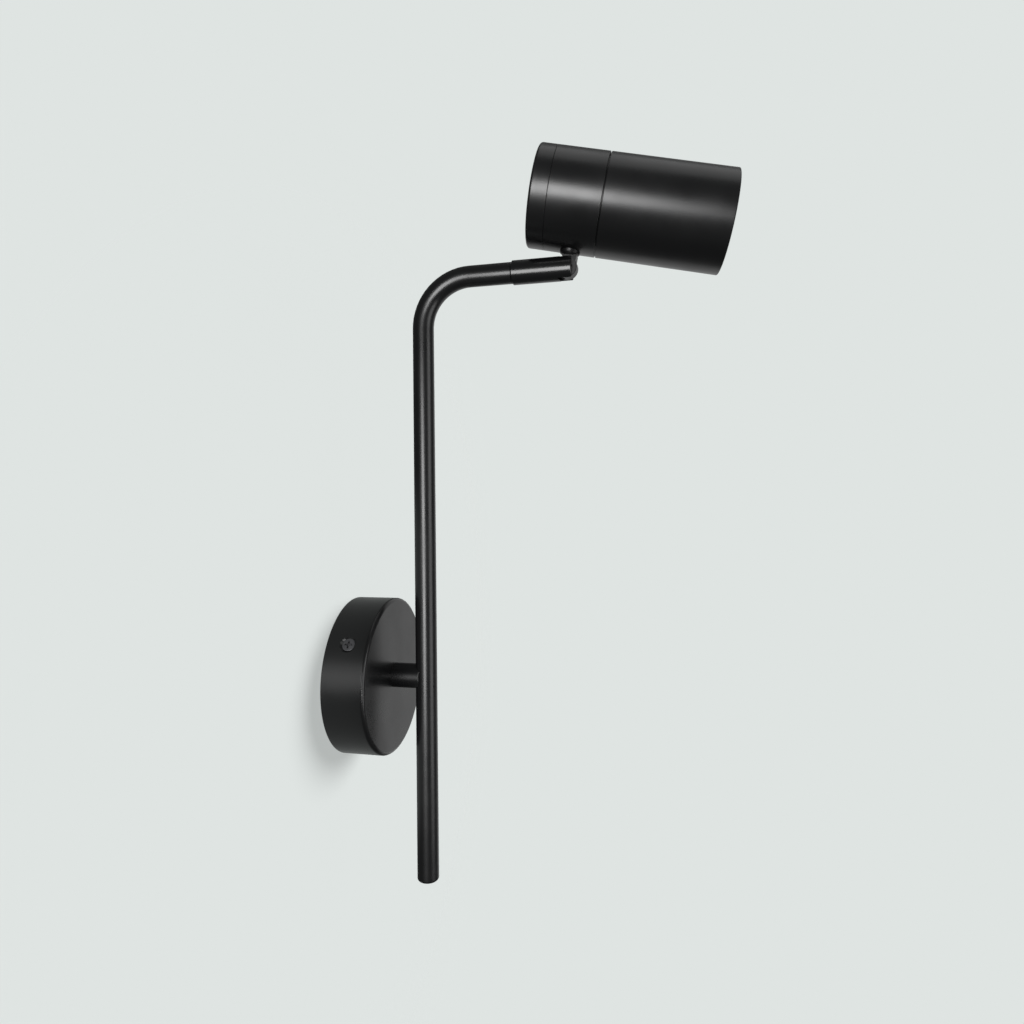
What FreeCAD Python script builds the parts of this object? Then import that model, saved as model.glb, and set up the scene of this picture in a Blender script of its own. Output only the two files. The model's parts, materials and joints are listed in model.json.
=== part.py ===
import FreeCAD, Part

import math
import os

from FreeCAD import Placement, Rotation, Vector

# Pivoting spotlight wall light. Millimetres and degrees. The origin is the centre of the
# canopy's back on the wall; the wall is the plane Y = 0, the light stands out towards -Y
# and +Z is up. The head is drawn level and straight, above its pivot, and is then panned
# and tilted to its rest place.

# ---- Running and seating clearances -------------------------------------------------------
thread_clearance = 0.05     # radial, screw in its tapped or clearance hole
running_clearance = 0.06    # radial, shaft that turns in its bore
sliding_gap = 0.05          # between flat faces that turn on each other
seat_clearance = 0.05       # between a fixed piece and the seat it lies on
fit_clearance = 0.08        # radial, spigot in its socket
free_gap = 0.3              # between pieces that pass each other
beyond = 1.0                # how far a cutter reaches past the solid it cuts
overlap = 0.1               # how far one cutter reaches into the next
turned_edge = 0.3           # chamfer on turned ends

# ---- Canopy and wall bracket --------------------------------------------------------------
canopy_radius = 43.0
canopy_depth = 24.0
canopy_wall = 1.6
canopy_edge_radius = 2.0
canopy_screw_count = 3
canopy_screw_first_angle = 26.0     # from +X towards +Z
canopy_screw_depth = 12.0           # from the wall
countersink_radius = 4.5            # where the cone meets the canopy's side

bracket_thickness = 1.5
bracket_margin = 7.0                # of the disc, inside the canopy's outside
bracket_cable_hole_radius = 10.0
tab_gap = 1.0                       # between the tabs and the canopy's inside
tab_width = 12.0
tab_margin = 4.0                    # tab beyond the screw's centre line
wall_slot_inset = 6.0               # of the slots' middles, inside the disc's edge
wall_slot_width = 4.5
wall_slot_length = 10.0

# ---- Screws -------------------------------------------------------------------------------
m4_radius = 2.0
m4_countersunk_head_radius = 3.75
m4_length = 8.0
m4_pan_head_radius = 3.6
m4_pan_head_height = 2.4
m3_radius = 1.5
m3_head_radius = 2.4
m3_head_height = 2.0
terminal_screw_radius = 1.25
terminal_screw_head_radius = 1.8
terminal_screw_head_height = 1.5
recess_width = 0.9                  # of the cross in a screw's head
recess_depth = 1.3
head_edge_share = 1 / 3             # of a round screw head's height, chamfered off
recess_share = 0.6                  # of the head's radius
screw_tail = 1.0                    # of a screw beyond a tapped plate

# ---- Terminal block and earth point -------------------------------------------------------
pole_count = 3
pole_pitch = 8.5
pole_width = 7.2
block_height = 12.0
block_length = 14.0                 # along the wires
block_inset = 14.0                  # of its middle, inside the disc's edge
block_edge_radius = 0.8
block_web_height = 5.5
block_web_length = 10.0
lug_reach = 5.4
lug_length = 6.4
lug_height = 3.0
insert_radius = 2.25
insert_bore_radius = 1.45
insert_length = 12.0
insert_height = 6.5                 # of the wires' axis, above the bracket
terminal_screw_offset = 4.0         # either side of the block's middle
terminal_screw_tip_gap = 0.2
wire_tip_offset = 1.5               # of a wire's end, from the block's middle

earth_point_inset = 10.5            # across, inside the disc's edge
earth_point_gap = 2.6               # between the washer and the block's lug, upwards
earth_boss_radius = 3.6
earth_boss_height = 1.5
earth_washer_radius = 4.2
washer_thickness = 0.8
ring_terminal_radius = 3.6
ring_terminal_thickness = 0.8
ring_tongue_width = 2.6
ring_tongue_length = 2.4            # beyond the washer's edge
jumper_drop = 3.0                   # below the block
jumper_lean = 2.0                   # towards the wall, along the lowest run
jumper_straight = 5.0               # into its ring
jumper_first_bend_radius = 2.6
jumper_bend_radius = 5.0

# ---- Stem between the canopy and the arm --------------------------------------------------
boss_step = 0.75                    # boss is this much larger than the arm
boss_wrap = 3.4                     # how far the saddle end reaches round the arm
boss_passage_radius = 3.5
boss_thread_depth = 9.0
nipple_radius = 5.0
nipple_wall = 1.0
nipple_tail = 1.6                   # behind its nut
nut_across_flats = 14.0
nipple_nut_thickness = 3.5
lock_washer_radius = 8.0
lock_washer_teeth = 10
lock_tooth_depth = 1.2
bush_flange_radius = 5.8
bush_flange_thickness = 1.2
bush_wall = 0.7
bush_length = 5.0

# ---- Arm tube -----------------------------------------------------------------------------
arm_radius = 6.0
arm_wall = 1.0
arm_out = 42.5                      # of the upright's axis, from the wall
arm_foot_up = -112.0                # lowest point of the end plug
arm_level_up = 224.6                # of the level stretch's axis
arm_bend_radius = 28.0
arm_end_out = 95.0
plug_head_height = 3.0
plug_edge_radius = 1.4
plug_spigot_length = 8.0

# ---- Swivel joint at the arm's end --------------------------------------------------------
sleeve_step = 0.75                  # sleeve is this much larger than the arm
sleeve_seam = 0.5                   # open groove between the arm's end and the sleeve
fork_reach = 2.8                    # of the cheeks, beyond the pivot
sleeve_spigot_length = 14.0
sleeve_bore_radius = 3.0
pivot_out = 125.8
slot_width = 6.8
slot_end_gap = 1.8                  # between the slot's round end and the eye
friction_washer_thickness = 0.4
friction_washer_inset = 0.4         # inside the eye's edge
pivot_screw_head_radius = 3.4
pivot_screw_head_height = 1.0
pivot_seat_wall = 1.5               # of the cheek, under the screw's head
pivot_blind_grip = 2.4              # of the screw, into the far cheek
socket_across_flats = 2.5

eye_radius = 5.8
neck_back = 3.3                     # from the stud's axis, on the arm's side
neck_front = 4.4                    # from the stud's axis, on the open side
pivot_boss_radius = 2.8
wireway_wall = 1.2                  # of the blade, either side of the wireway
wireway_rise = 0.3                  # above the collar's foot
neck_length = 0.9                   # from the eye's edge to the collar's foot
collar_foot_radius = 3.75
collar_height = 1.5
collar_step = 0.25                  # collar is this much larger than the stud
collar_band = 0.4                   # straight band at the collar's top
neck_overlap = 0.5                  # of the neck into the collar
stud_radius = 5.0
stud_bore_radius = 2.2
stud_tail = 1.15                    # of the stud, beyond its nut
stud_flat_depth = 0.8
sleeving_side_gap = 0.15            # between the sleeving and the wireway's sides
sleeving_foot = -2.0                # lower end of the sleeving, from the pivot
sleeving_rise = 2.2                 # where it starts to lean to the stud's axis
sleeving_crossing = 0.1             # below the collar's foot, where it meets that axis
sleeving_lower_bend_radius = 3.0
sleeving_upper_bend_radius = 4.0
sleeving_boss_gap = 0.2             # between the sleeving and the blade's pivot boss

# ---- Head ---------------------------------------------------------------------------------
head_tilt_at_rest = 11.1            # nose down
head_pan_at_rest = 7.1              # nose towards +X
head_radius = 27.5
head_length = 105.0
seat_height = 0.8                   # between the collar's top and the head's lowest line
stud_setback = 24.6                 # stud's axis from the head's back
cap_length = 9.7
cap_back_wall = 2.5
cap_wall = 4.0
cap_edge_radius = 1.5
cap_spigot_length = 5.0
seam_chamfer = 0.2
housing_end = 37.7                  # shoulder of the front spigot, from the head's back
housing_wall = 2.9
housing_ledge = 1.0                 # that the lampholder's plate lies on
housing_spigot_length = 8.3
barrel_gap = 0.6                    # open groove between housing and barrel
barrel_wall = 1.6
barrel_rim_chamfer = 0.4

seat_step = 0.25                    # seat is this much larger than the collar
inner_seat_land = 2.0               # round the stud
inner_seat_rise = 1.7               # above the housing's inside
pan_washer_thickness = 0.6
stop_washer_thickness = 1.0
stop_tab_length = 1.8               # beyond the washer
stop_tab_width = 2.2
stop_pin_radius = 0.9
stop_pin_offset = 1.2               # of its axis, beyond the inner seat
stop_pin_gap = 0.4                  # between its top and the nut
stop_pin_depth = 1.0                # let into the housing's wall
stud_nut_thickness = 3.0

# ---- Lampholder and lamp ------------------------------------------------------------------
plate_thickness = 1.2
plate_margin = 3.5                  # of the flat cut, below the earth screw
plate_centre_hole_radius = 4.0
lead_hole_radius = 3.2
holder_half_width = 14.0
holder_lead_gap = 2.25              # between the holder and the leads below it
holder_edge_radius = 2.0
holder_length = 15.7
holder_floor = 4.0                  # solid back of the holder
holder_face = 1.7                   # layer with the keyhole slots
holder_screw_across = 10.8
holder_screw_sunk = 1.7
holder_lead_bore_radius = 2.6
holder_lead_bore_depth = 3.2
contact_radius = 2.0
head_earth_across = 9.0

pin_offset = 5.0
pin_radius = 1.5
pin_head_radius = 2.4
pin_length = 7.2
pin_head_length = 4.4
pin_play = 0.4
lamp_twist_angle = 18.0
lamp_length = 46.0                  # base face to front rim
lamp_gap = 0.9                      # between the lamp's rim and the barrel
lamp_rim_height = 8.0
lamp_base_radius = 11.5
lamp_base_height = 6.5
lamp_cup_depth = 28.0
lamp_floor_radius = 10.0
lens_rim = 2.6                      # of the lamp, round its lens
lamp_lens_thickness = 1.8
lamp_lens_sunk = 0.6
lamp_rim_chamfer = 0.5
lamp_waist_share = 0.62             # of the step from the base's radius to the rim's
lens_ledge = 1.2                    # under the lens's edge
lens_flange_width = 3.0
lens_foot_radius = 6.0
lens_foot_depth = 17.0
led_board_radius = 9.5
led_board_thickness = 1.5
led_radius = 4.0
led_height = 1.0

# ---- Leads --------------------------------------------------------------------------------
lead_radius = 0.8
lead_pitch = 1.7                    # side by side
lead_offset = 1.0                   # off the tube's axis, towards the outside of its corner
head_lead_radius = 0.75
head_lead_spread = 0.85             # either side of the stud's axis
head_lead_offset = 0.5              # behind the stud's axis
head_earth_lead_offset = 1.15       # in front of it
head_lead_height = 4.9                # above the sleeving, before the leads turn back
head_lead_first_bend = 3.5
head_lead_straight = 2.5            # between their two turns behind the plate
head_earth_lead_step = 2.0          # the earth lead turns this much lower
head_lead_stop = 1.2                # before the end of the holder's bore
head_earth_lead_first_bend = 1.9
head_earth_lead_bend = 3.5
head_ring_radius = 3.0
canopy_lead_bend = 5.0
canopy_lead_rise = -5.0             # height at which the leads turn out of the block's plane
canopy_lead_gap = 3.8               # behind the nipple, where they turn towards it
arm_entry_bend = 7.0
lead_stop_gap = 1.0                 # before the knuckle's slot

# ---- Values worked out from the sizes above -----------------------------------------------
OUT = Vector(0, -1, 0)
ACROSS = Vector(1, 0, 0)
UP = Vector(0, 0, 1)

canopy_bore_radius = canopy_radius - canopy_wall
canopy_floor = canopy_depth - canopy_wall
bracket_disc_radius = canopy_radius - bracket_margin
tab_outer_radius = canopy_bore_radius - tab_gap
block_centre_up = block_inset - bracket_disc_radius
first_pole = -pole_pitch * (pole_count - 1) / 2
insert_out = bracket_thickness + insert_height
earth_point_across = bracket_disc_radius - earth_point_inset
earth_point_up = block_centre_up + lug_length / 2 + earth_point_gap + earth_washer_radius
earth_ring_out = bracket_thickness + earth_boss_height

nut_out = canopy_floor - washer_thickness - nipple_nut_thickness
nipple_back_out = nut_out - nipple_tail
nipple_bore_radius = nipple_radius - nipple_wall
boss_radius = arm_radius + boss_step
boss_end_out = arm_out - arm_radius + boss_wrap
arm_bore_radius = arm_radius - arm_wall

sleeve_radius = arm_radius + sleeve_step
sleeve_end_out = pivot_out + fork_reach
slot_end_radius = eye_radius + slot_end_gap
cheek_inside = slot_width / 2
blade_half = cheek_inside - friction_washer_thickness - 2 * sliding_gap
pivot_counterbore_floor = cheek_inside + pivot_seat_wall
pivot_blind_reach = cheek_inside + pivot_blind_grip
wireway_half = blade_half - wireway_wall
sleeving_radius = wireway_half - sleeving_side_gap

# Heights above the pivot, with the head level.
collar_foot_height = eye_radius + neck_length
collar_top_height = collar_foot_height + collar_height
collar_top_radius = stud_radius + collar_step
seat_bottom = collar_top_height + sliding_gap
underside_height = collar_top_height + seat_height
head_axis_height = underside_height + head_radius
inner_seat_radius = stud_radius + inner_seat_land
inner_seat_top = underside_height + housing_wall + inner_seat_rise
pan_washer_base = inner_seat_top + sliding_gap
stop_washer_base = pan_washer_base + pan_washer_thickness + sliding_gap
stud_nut_base = stop_washer_base + stop_washer_thickness + seat_clearance
stud_top_height = stud_nut_base + stud_nut_thickness + stud_tail
sleeving_top = stud_top_height + free_gap
head_lead_start = sleeving_top + free_gap
head_lead_level = head_lead_start + head_lead_height

# Radii about the head's axis and drops below it.
housing_bore_radius = head_radius - housing_wall
housing_counterbore_radius = housing_bore_radius + housing_ledge
barrel_bore_radius = head_radius - barrel_wall
lamp_rim_radius = barrel_bore_radius - lamp_gap
lamp_lens_radius = lamp_rim_radius - lens_rim
lead_drop = head_axis_height - head_lead_level
head_earth_drop = lead_drop + head_earth_lead_step
plate_chord = head_earth_drop + plate_margin
holder_half_height = lead_drop - head_lead_radius - holder_lead_gap
head_lead_bend = (lead_drop - head_lead_straight) / 2

# Distances from the head's back.
plate_back = cap_length + cap_spigot_length + seat_clearance
plate_front = plate_back + plate_thickness
holder_front = plate_front + holder_length
lamp_back = holder_front + free_gap
lamp_front = lamp_back + lamp_length
barrel_back = housing_end + barrel_gap


# ---- Tools --------------------------------------------------------------------------------
def at(across, out, up):
    """A point by its distance across, out from the wall, and up."""
    return Vector(across, -out, up)


def in_head(across, along, below=0.0):
    """A point of the level head: across it, from its back, and below its axis."""
    return Vector(across, stud_setback - along, head_axis_height - below)


def rod(radius, start, end):
    """Round bar between two points."""
    span = end - start
    return Part.makeCylinder(radius, span.Length, start, span)


def ring(radius, bore, start, end):
    """Round bar with a hole through it."""
    return rod(radius, start, end).cut(rod(bore, start, end))


def block(corner, opposite):
    """Upright box between two corners, in any order."""
    low = Vector(*map(min, corner, opposite))
    size = Vector(*map(max, corner, opposite)) - low
    return Part.makeBox(size.x, size.y, size.z, low)


def turned(outline, start, direction):
    """Lathe part: (radius, distance along the axis) points, closed and spun round it."""
    points = [Vector(radius, 0, distance) for radius, distance in outline]
    face = Part.Face(Part.makePolygon(points + points[:1]))
    solid = face.revolve(Vector(), UP, 360)
    solid.Placement = Placement(start, Rotation(UP, direction))
    return solid


def hexagon(across_flats, start, end):
    """Six-sided prism between two points."""
    span = end - start
    corner = across_flats / math.sqrt(3)
    points = [Vector(corner * math.cos(a), corner * math.sin(a), 0)
              for a in (math.radians(60 * k) for k in range(6))]
    prism = Part.Face(Part.makePolygon(points + points[:1])).extrude(UP * span.Length)
    prism.Placement = Placement(start, Rotation(UP, span))
    return prism


def circle_edges(shape, radius, test):
    """Full round edges of one radius whose centre passes the test."""
    return [e for e in shape.Edges
            if isinstance(e.Curve, Part.Circle)
            and abs(e.Curve.Radius - radius) < 1e-4 and test(e.Curve.Center)]


def near(point, reach=0.01):
    """Test for circle_edges: the circle's centre lies at a point."""
    return lambda centre: (centre - point).Length < reach


def spun(shape, angle, axis=OUT, centre=Vector()):
    """Copy turned round an axis."""
    copy = shape.copy()
    copy.rotate(centre, axis, angle)
    return copy


def joined(shapes):
    """One solid from overlapping or touching ones."""
    return shapes[0].multiFuse(shapes[1:]).removeSplitter()


def cross_recess(reach, top, inward):
    """Cutter for the cross in a screw's head; inward points down the shank."""
    bars = [Part.makeBox(2 * reach, recess_width, recess_depth,
                         Vector(-reach, -recess_width / 2, 0)),
            Part.makeBox(recess_width, 2 * reach, recess_depth,
                         Vector(-recess_width / 2, -reach, 0))]
    cutter = bars[0].fuse(bars[1])
    cutter.Placement = Placement(top, Rotation(UP, inward))
    return cutter


def pan_screw(radius, head_radius, head_height, length, under_head, inward):
    """Screw with a low round head, its shank pointing inward from under the head."""
    top = under_head - inward * head_height
    edge = head_height * head_edge_share
    head = turned([(0, 0), (head_radius - edge, 0), (head_radius, edge),
                   (head_radius, head_height), (radius, head_height),
                   (radius, head_height + length), (0, head_height + length)], top, inward)
    return head.cut(cross_recess(head_radius * recess_share, top, inward))


def route(points, radii):
    """Wire of straight runs, with a tangent arc of the given radius at each corner."""
    edges = []
    start = points[0]
    for before, corner, after, radius in zip(points, points[1:], points[2:], radii):
        into = (corner - before).normalize()
        away = (after - corner).normalize()
        turn = into.getAngle(away)
        reach = radius * math.tan(turn / 2)
        first, last = corner - into * reach, corner + away * reach
        bisector = (away - into).normalize()
        middle = corner + bisector * (radius / math.cos(turn / 2) - radius)
        edges.append(Part.LineSegment(start, first).toShape())
        edges.append(Part.Arc(first, middle, last).toShape())
        start = last
    edges.append(Part.LineSegment(start, points[-1]).toShape())
    return Part.Wire(edges)


def swept(radius, path):
    """Round solid along a wire."""
    start = path.Edges[0]
    section = Part.Circle(start.valueAt(start.FirstParameter),
                          start.tangentAt(start.FirstParameter), radius).toShape()
    return path.makePipeShell([Part.Wire([section])], True, False)


def poles():
    """Places across of the terminal block's poles."""
    return [first_pole + k * pole_pitch for k in range(pole_count)]


def canopy_screw_angles():
    """Angles of the canopy's side screws, from +X towards +Z."""
    step = 360 / canopy_screw_count
    return [canopy_screw_first_angle + k * step for k in range(canopy_screw_count)]


# ---- Wall bracket and canopy --------------------------------------------------------------
def wall_bracket():
    """Steel plate on the wall, with three tabs that the canopy is screwed to."""
    pieces = [rod(bracket_disc_radius, at(0, 0, 0), at(0, bracket_thickness, 0))]
    half = tab_width / 2
    tab_inside = tab_outer_radius - bracket_thickness
    strip = block(at(bracket_disc_radius / 2, 0, -half),
                  at(tab_outer_radius, bracket_thickness, half))
    tab = block(at(tab_inside, 0, -half),
                at(tab_outer_radius, canopy_screw_depth + tab_margin, half))
    for angle in canopy_screw_angles():
        pieces += [spun(strip, angle), spun(tab, angle)]
    earth = at(earth_point_across, 0, earth_point_up)
    pieces.append(rod(earth_boss_radius, earth, earth + OUT * earth_ring_out))
    plate = joined(pieces)
    through = OUT * (2 * earth_ring_out)
    cutters = [rod(bracket_cable_hole_radius, -through, through)]
    cutters.append(rod(m4_radius + thread_clearance, earth - through, earth + through))
    tapped = rod(m4_radius + thread_clearance, at(tab_inside - beyond, canopy_screw_depth, 0),
                 at(tab_outer_radius + beyond, canopy_screw_depth, 0))
    cutters += [spun(tapped, angle) for angle in canopy_screw_angles()]
    cutters += [rod(m3_radius + thread_clearance, place - through, place + through)
                for place in fixing_places()]
    slot_half = wall_slot_width / 2
    run = (wall_slot_length - wall_slot_width) / 2
    for side in (-1, 1):
        middle = side * (bracket_disc_radius - wall_slot_inset)
        cutters.append(block(at(middle - run, -beyond, -slot_half),
                             at(middle + run, bracket_thickness + beyond, slot_half)))
        cutters += [rod(slot_half, at(middle + end, -beyond, 0),
                        at(middle + end, bracket_thickness + beyond, 0))
                    for end in (-run, run)]
    return plate.cut(cutters)


def canopy():
    """Round cup that covers the bracket and wiring."""
    cup = turned([(canopy_bore_radius, 0), (canopy_radius, 0), (canopy_radius, canopy_depth),
                  (0, canopy_depth), (0, canopy_floor), (canopy_bore_radius, canopy_floor)],
                 Vector(), OUT)
    cup = cup.makeFillet(canopy_edge_radius,
                         circle_edges(cup, canopy_radius, near(at(0, canopy_depth, 0))))
    cup = cup.makeFillet(canopy_edge_radius / 2,
                         circle_edges(cup, canopy_bore_radius, near(at(0, canopy_floor, 0))))
    cutters = [rod(nipple_radius + thread_clearance, at(0, 0, 0),
                   at(0, canopy_depth + beyond, 0))]
    inner = countersink_radius - canopy_wall - beyond
    cone = Part.makeCone(countersink_radius + beyond, inner, canopy_wall + 2 * beyond,
                         at(canopy_radius + beyond, canopy_screw_depth, 0), -ACROSS)
    cutters += [spun(cone, angle) for angle in canopy_screw_angles()]
    return cup.cut(cutters)


def canopy_screws():
    """Countersunk screws through the canopy's side into the bracket's tabs."""
    head = m4_countersunk_head_radius
    sunk = countersink_radius - head - seat_clearance
    top = at(canopy_radius - sunk, canopy_screw_depth, 0)
    cone = head - m4_radius
    body = turned([(0, 0), (head, 0), (m4_radius, cone), (m4_radius, m4_length),
                   (0, m4_length)], top, -ACROSS)
    body = body.cut(cross_recess(head * recess_share, top, -ACROSS))
    return [spun(body, angle) for angle in canopy_screw_angles()]


# ---- Terminal block and earth point -------------------------------------------------------
def fixing_places():
    """Where the terminal block's two fixing screws meet the wall plane."""
    reach = pole_pitch * (pole_count - 1) / 2 + pole_width / 2 + lug_reach / 2
    return [at(side * reach, 0, block_centre_up) for side in (-1, 1)]


def terminal_block():
    """Insulating block with a tower for each pole and a lug at each end."""
    base = bracket_thickness
    top = base + block_height
    end = pole_pitch * (pole_count - 1) / 2 + pole_width / 2
    half = block_length / 2
    web = block(at(-end, base, block_centre_up - block_web_length / 2),
                at(end, base + block_web_height, block_centre_up + block_web_length / 2))
    lugs = block(at(-end - lug_reach, base, block_centre_up - lug_length / 2),
                 at(end + lug_reach, base + lug_height, block_centre_up + lug_length / 2))
    pieces = [web, lugs]
    for across in poles():
        tower = block(at(across - pole_width / 2, base, block_centre_up - half),
                      at(across + pole_width / 2, top, block_centre_up + half))
        rim = [e for e in tower.Edges if e.BoundBox.YMax < -insert_out - insert_radius]
        pieces.append(tower.makeFillet(block_edge_radius, rim))
    body = joined(pieces)
    bore = insert_radius + seat_clearance
    cutters = [rod(bore, at(x, insert_out, block_centre_up - half - beyond),
                   at(x, insert_out, block_centre_up + half + beyond)) for x in poles()]
    well = terminal_screw_head_radius + thread_clearance
    for x in poles():
        for side in (-1, 1):
            up = block_centre_up + side * terminal_screw_offset
            cutters.append(rod(well, at(x, insert_out, up), at(x, top + beyond, up)))
    cutters += [rod(m3_radius + thread_clearance, place, place + OUT * top)
                for place in fixing_places()]
    return body.cut(cutters)


def terminal_inserts():
    """Brass tubes that take the wires, one for each pole."""
    inserts = []
    for x in poles():
        tube = ring(insert_radius, insert_bore_radius,
                    at(x, insert_out, block_centre_up - insert_length / 2),
                    at(x, insert_out, block_centre_up + insert_length / 2))
        for side in (-1, 1):
            up = block_centre_up + side * terminal_screw_offset
            tube = tube.cut(rod(terminal_screw_radius + thread_clearance,
                                at(x, insert_out, up), at(x, insert_out + 2 * insert_radius, up)))
        inserts.append(tube)
    return inserts


def terminal_screws():
    """Two clamping screws for each pole."""
    under_head = insert_out + insert_radius + seat_clearance
    length = under_head - insert_out - lead_radius - terminal_screw_tip_gap
    return [pan_screw(terminal_screw_radius, terminal_screw_head_radius,
                      terminal_screw_head_height, length,
                      at(x, under_head, block_centre_up + side * terminal_screw_offset), -OUT)
            for x in poles() for side in (-1, 1)]


def terminal_fixing_screws():
    """Screws that hold the terminal block on the bracket."""
    seat = bracket_thickness + lug_height + seat_clearance
    return [pan_screw(m3_radius, m3_head_radius, m3_head_height, seat - free_gap,
                      place + OUT * seat, -OUT) for place in fixing_places()]


def earth_washer():
    """Plain washer over the earth jumper's ring."""
    base = earth_ring_out + ring_terminal_thickness + seat_clearance
    place = at(earth_point_across, base, earth_point_up)
    return ring(earth_washer_radius, m4_radius + thread_clearance, place,
                place + OUT * washer_thickness)


def earth_screw():
    """Earth screw in the bracket's tapped boss."""
    seat = earth_ring_out + ring_terminal_thickness + washer_thickness + 2 * seat_clearance
    return pan_screw(m4_radius, m4_pan_head_radius, m4_pan_head_height, seat - free_gap,
                     at(earth_point_across, seat, earth_point_up), -OUT)


def ring_terminal(radius, bore, tongue_start, seat, along):
    """Crimped ring on a seat that faces out, with a tongue for its wire pointing along."""
    sideways = along.cross(OUT) * (ring_tongue_width / 2)
    thick = OUT * (ring_terminal_thickness - seat_clearance)
    base = seat + OUT * seat_clearance
    tongue = block(base - sideways, base + sideways + along * (tongue_start + ring_tongue_length)
                   + thick)
    disc = rod(radius, base, base + thick)
    return joined([tongue, disc]).cut(rod(bore, seat, seat + OUT * (2 * ring_terminal_thickness)))


def earth_jumper():
    """Short lead from the middle pole to the ring under the earth screw."""
    level = earth_ring_out + (ring_terminal_thickness + seat_clearance) / 2
    low = block_centre_up - block_length / 2 - jumper_drop
    grip = earth_point_up - earth_washer_radius - free_gap
    wire = swept(lead_radius, route([
        at(0, insert_out, block_centre_up - wire_tip_offset), at(0, insert_out, low),
        at(earth_point_across, insert_out - jumper_lean, low),
        at(earth_point_across, level, grip - jumper_straight),
        at(earth_point_across, level, grip)],
        [jumper_first_bend_radius, jumper_bend_radius, jumper_bend_radius]))
    ring_tag = ring_terminal(ring_terminal_radius, m4_radius + thread_clearance,
                             earth_washer_radius, at(earth_point_across, earth_ring_out,
                                                     earth_point_up), -UP)
    return joined([wire, ring_tag])


# ---- Stem, nipple and lead bush -----------------------------------------------------------
def stem_boss():
    """Turned boss with a saddle end, brazed to the arm and tapped for the nipple."""
    body = rod(boss_radius, at(0, canopy_depth, 0), at(0, boss_end_out, 0))
    body = body.makeChamfer(turned_edge,
                            circle_edges(body, boss_radius, near(at(0, boss_end_out, 0))))
    saddle = rod(arm_radius + seat_clearance, at(0, arm_out, -2 * boss_radius),
                 at(0, arm_out, 2 * boss_radius))
    tapped = rod(nipple_radius + thread_clearance, at(0, canopy_depth - beyond, 0),
                 at(0, canopy_depth + boss_thread_depth, 0))
    passage = rod(boss_passage_radius, at(0, canopy_depth, 0), at(0, arm_out, 0))
    return body.cut([saddle, tapped, passage])


def hollow_nipple():
    """Hollow threaded pipe that clamps the canopy to the stem boss."""
    return ring(nipple_radius, nipple_bore_radius, at(0, nipple_back_out, 0),
                at(0, canopy_depth + boss_thread_depth - seat_clearance, 0))


def nipple_nut():
    """Thin nut on the nipple, inside the canopy."""
    nut = hexagon(nut_across_flats, at(0, nut_out, 0), at(0, nut_out + nipple_nut_thickness, 0))
    return nut.cut(rod(nipple_radius + thread_clearance, at(0, 0, 0), at(0, canopy_depth, 0)))


def lock_washer():
    """Toothed washer between the nut and the canopy."""
    inside, outside = canopy_floor - washer_thickness, canopy_floor
    body = ring(lock_washer_radius, nipple_radius + thread_clearance,
                at(0, inside + seat_clearance, 0), at(0, outside, 0))
    notch = rod(lock_tooth_depth, at(lock_washer_radius, inside - beyond, 0),
                at(lock_washer_radius, outside + beyond, 0))
    return body.cut([spun(notch, k * 360 / lock_washer_teeth) for k in range(lock_washer_teeth)])


def lead_bush():
    """Insulating bush in the nipple's back end."""
    outer = nipple_bore_radius - seat_clearance
    flange = nipple_back_out - seat_clearance
    return turned([(outer - bush_wall, 0), (bush_flange_radius, 0),
                   (bush_flange_radius, bush_flange_thickness), (outer, bush_flange_thickness),
                   (outer, bush_flange_thickness + bush_length),
                   (outer - bush_wall, bush_flange_thickness + bush_length)],
                  at(0, flange - bush_flange_thickness, 0), OUT)


# ---- Arm ----------------------------------------------------------------------------------
def arm_route(foot, end, offset=0.0, across=0.0):
    """The arm's line: up, round one bend and out; offset moves it inside the tube."""
    out, level = arm_out + offset, arm_level_up - offset
    return route([at(across, out, foot), at(across, out, level), at(across, end, level)],
                 [arm_bend_radius - offset])


def arm_tube():
    """Bent tube, with a hole in its back for the leads."""
    foot = arm_foot_up + plug_head_height
    outer = swept(arm_radius, arm_route(foot, arm_end_out))
    inner = swept(arm_bore_radius, arm_route(foot, arm_end_out))
    side_hole = rod(boss_passage_radius, at(0, arm_out - 2 * arm_radius, 0), at(0, arm_out, 0))
    return outer.cut([inner, side_hole])


def arm_end_plug():
    """Plug that closes the arm's lower end."""
    spigot = arm_bore_radius - seat_clearance
    top = plug_head_height + plug_spigot_length
    plug = turned([(0, 0), (arm_radius, 0), (arm_radius, plug_head_height),
                   (spigot, plug_head_height), (spigot, top), (0, top)],
                  at(0, arm_out, arm_foot_up), UP)
    return plug.makeFillet(plug_edge_radius,
                           circle_edges(plug, arm_radius, near(at(0, arm_out, arm_foot_up))))


def lead(across, pole, corner_radius):
    """Lead from a terminal, through the nipple and up the arm to the swivel joint."""
    level = -lead_offset
    return swept(lead_radius, route([
        at(pole, insert_out, block_centre_up + wire_tip_offset),
        at(pole, insert_out, canopy_lead_rise),
        at(across, nipple_back_out - canopy_lead_gap, level),
        at(across, arm_out + lead_offset, level),
        at(across, arm_out + lead_offset, arm_level_up - lead_offset),
        at(across, pivot_out - slot_end_radius - lead_stop_gap, arm_level_up - lead_offset)],
        [corner_radius, corner_radius, arm_entry_bend, arm_bend_radius - lead_offset]))


# ---- Swivel joint -------------------------------------------------------------------------
def pivot_point():
    """Centre of the tilt pivot."""
    return at(0, pivot_out, arm_level_up)


def across_pivot(start, end):
    """Two points on the tilt pivot's axis."""
    return pivot_point() + ACROSS * start, pivot_point() + ACROSS * end


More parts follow.
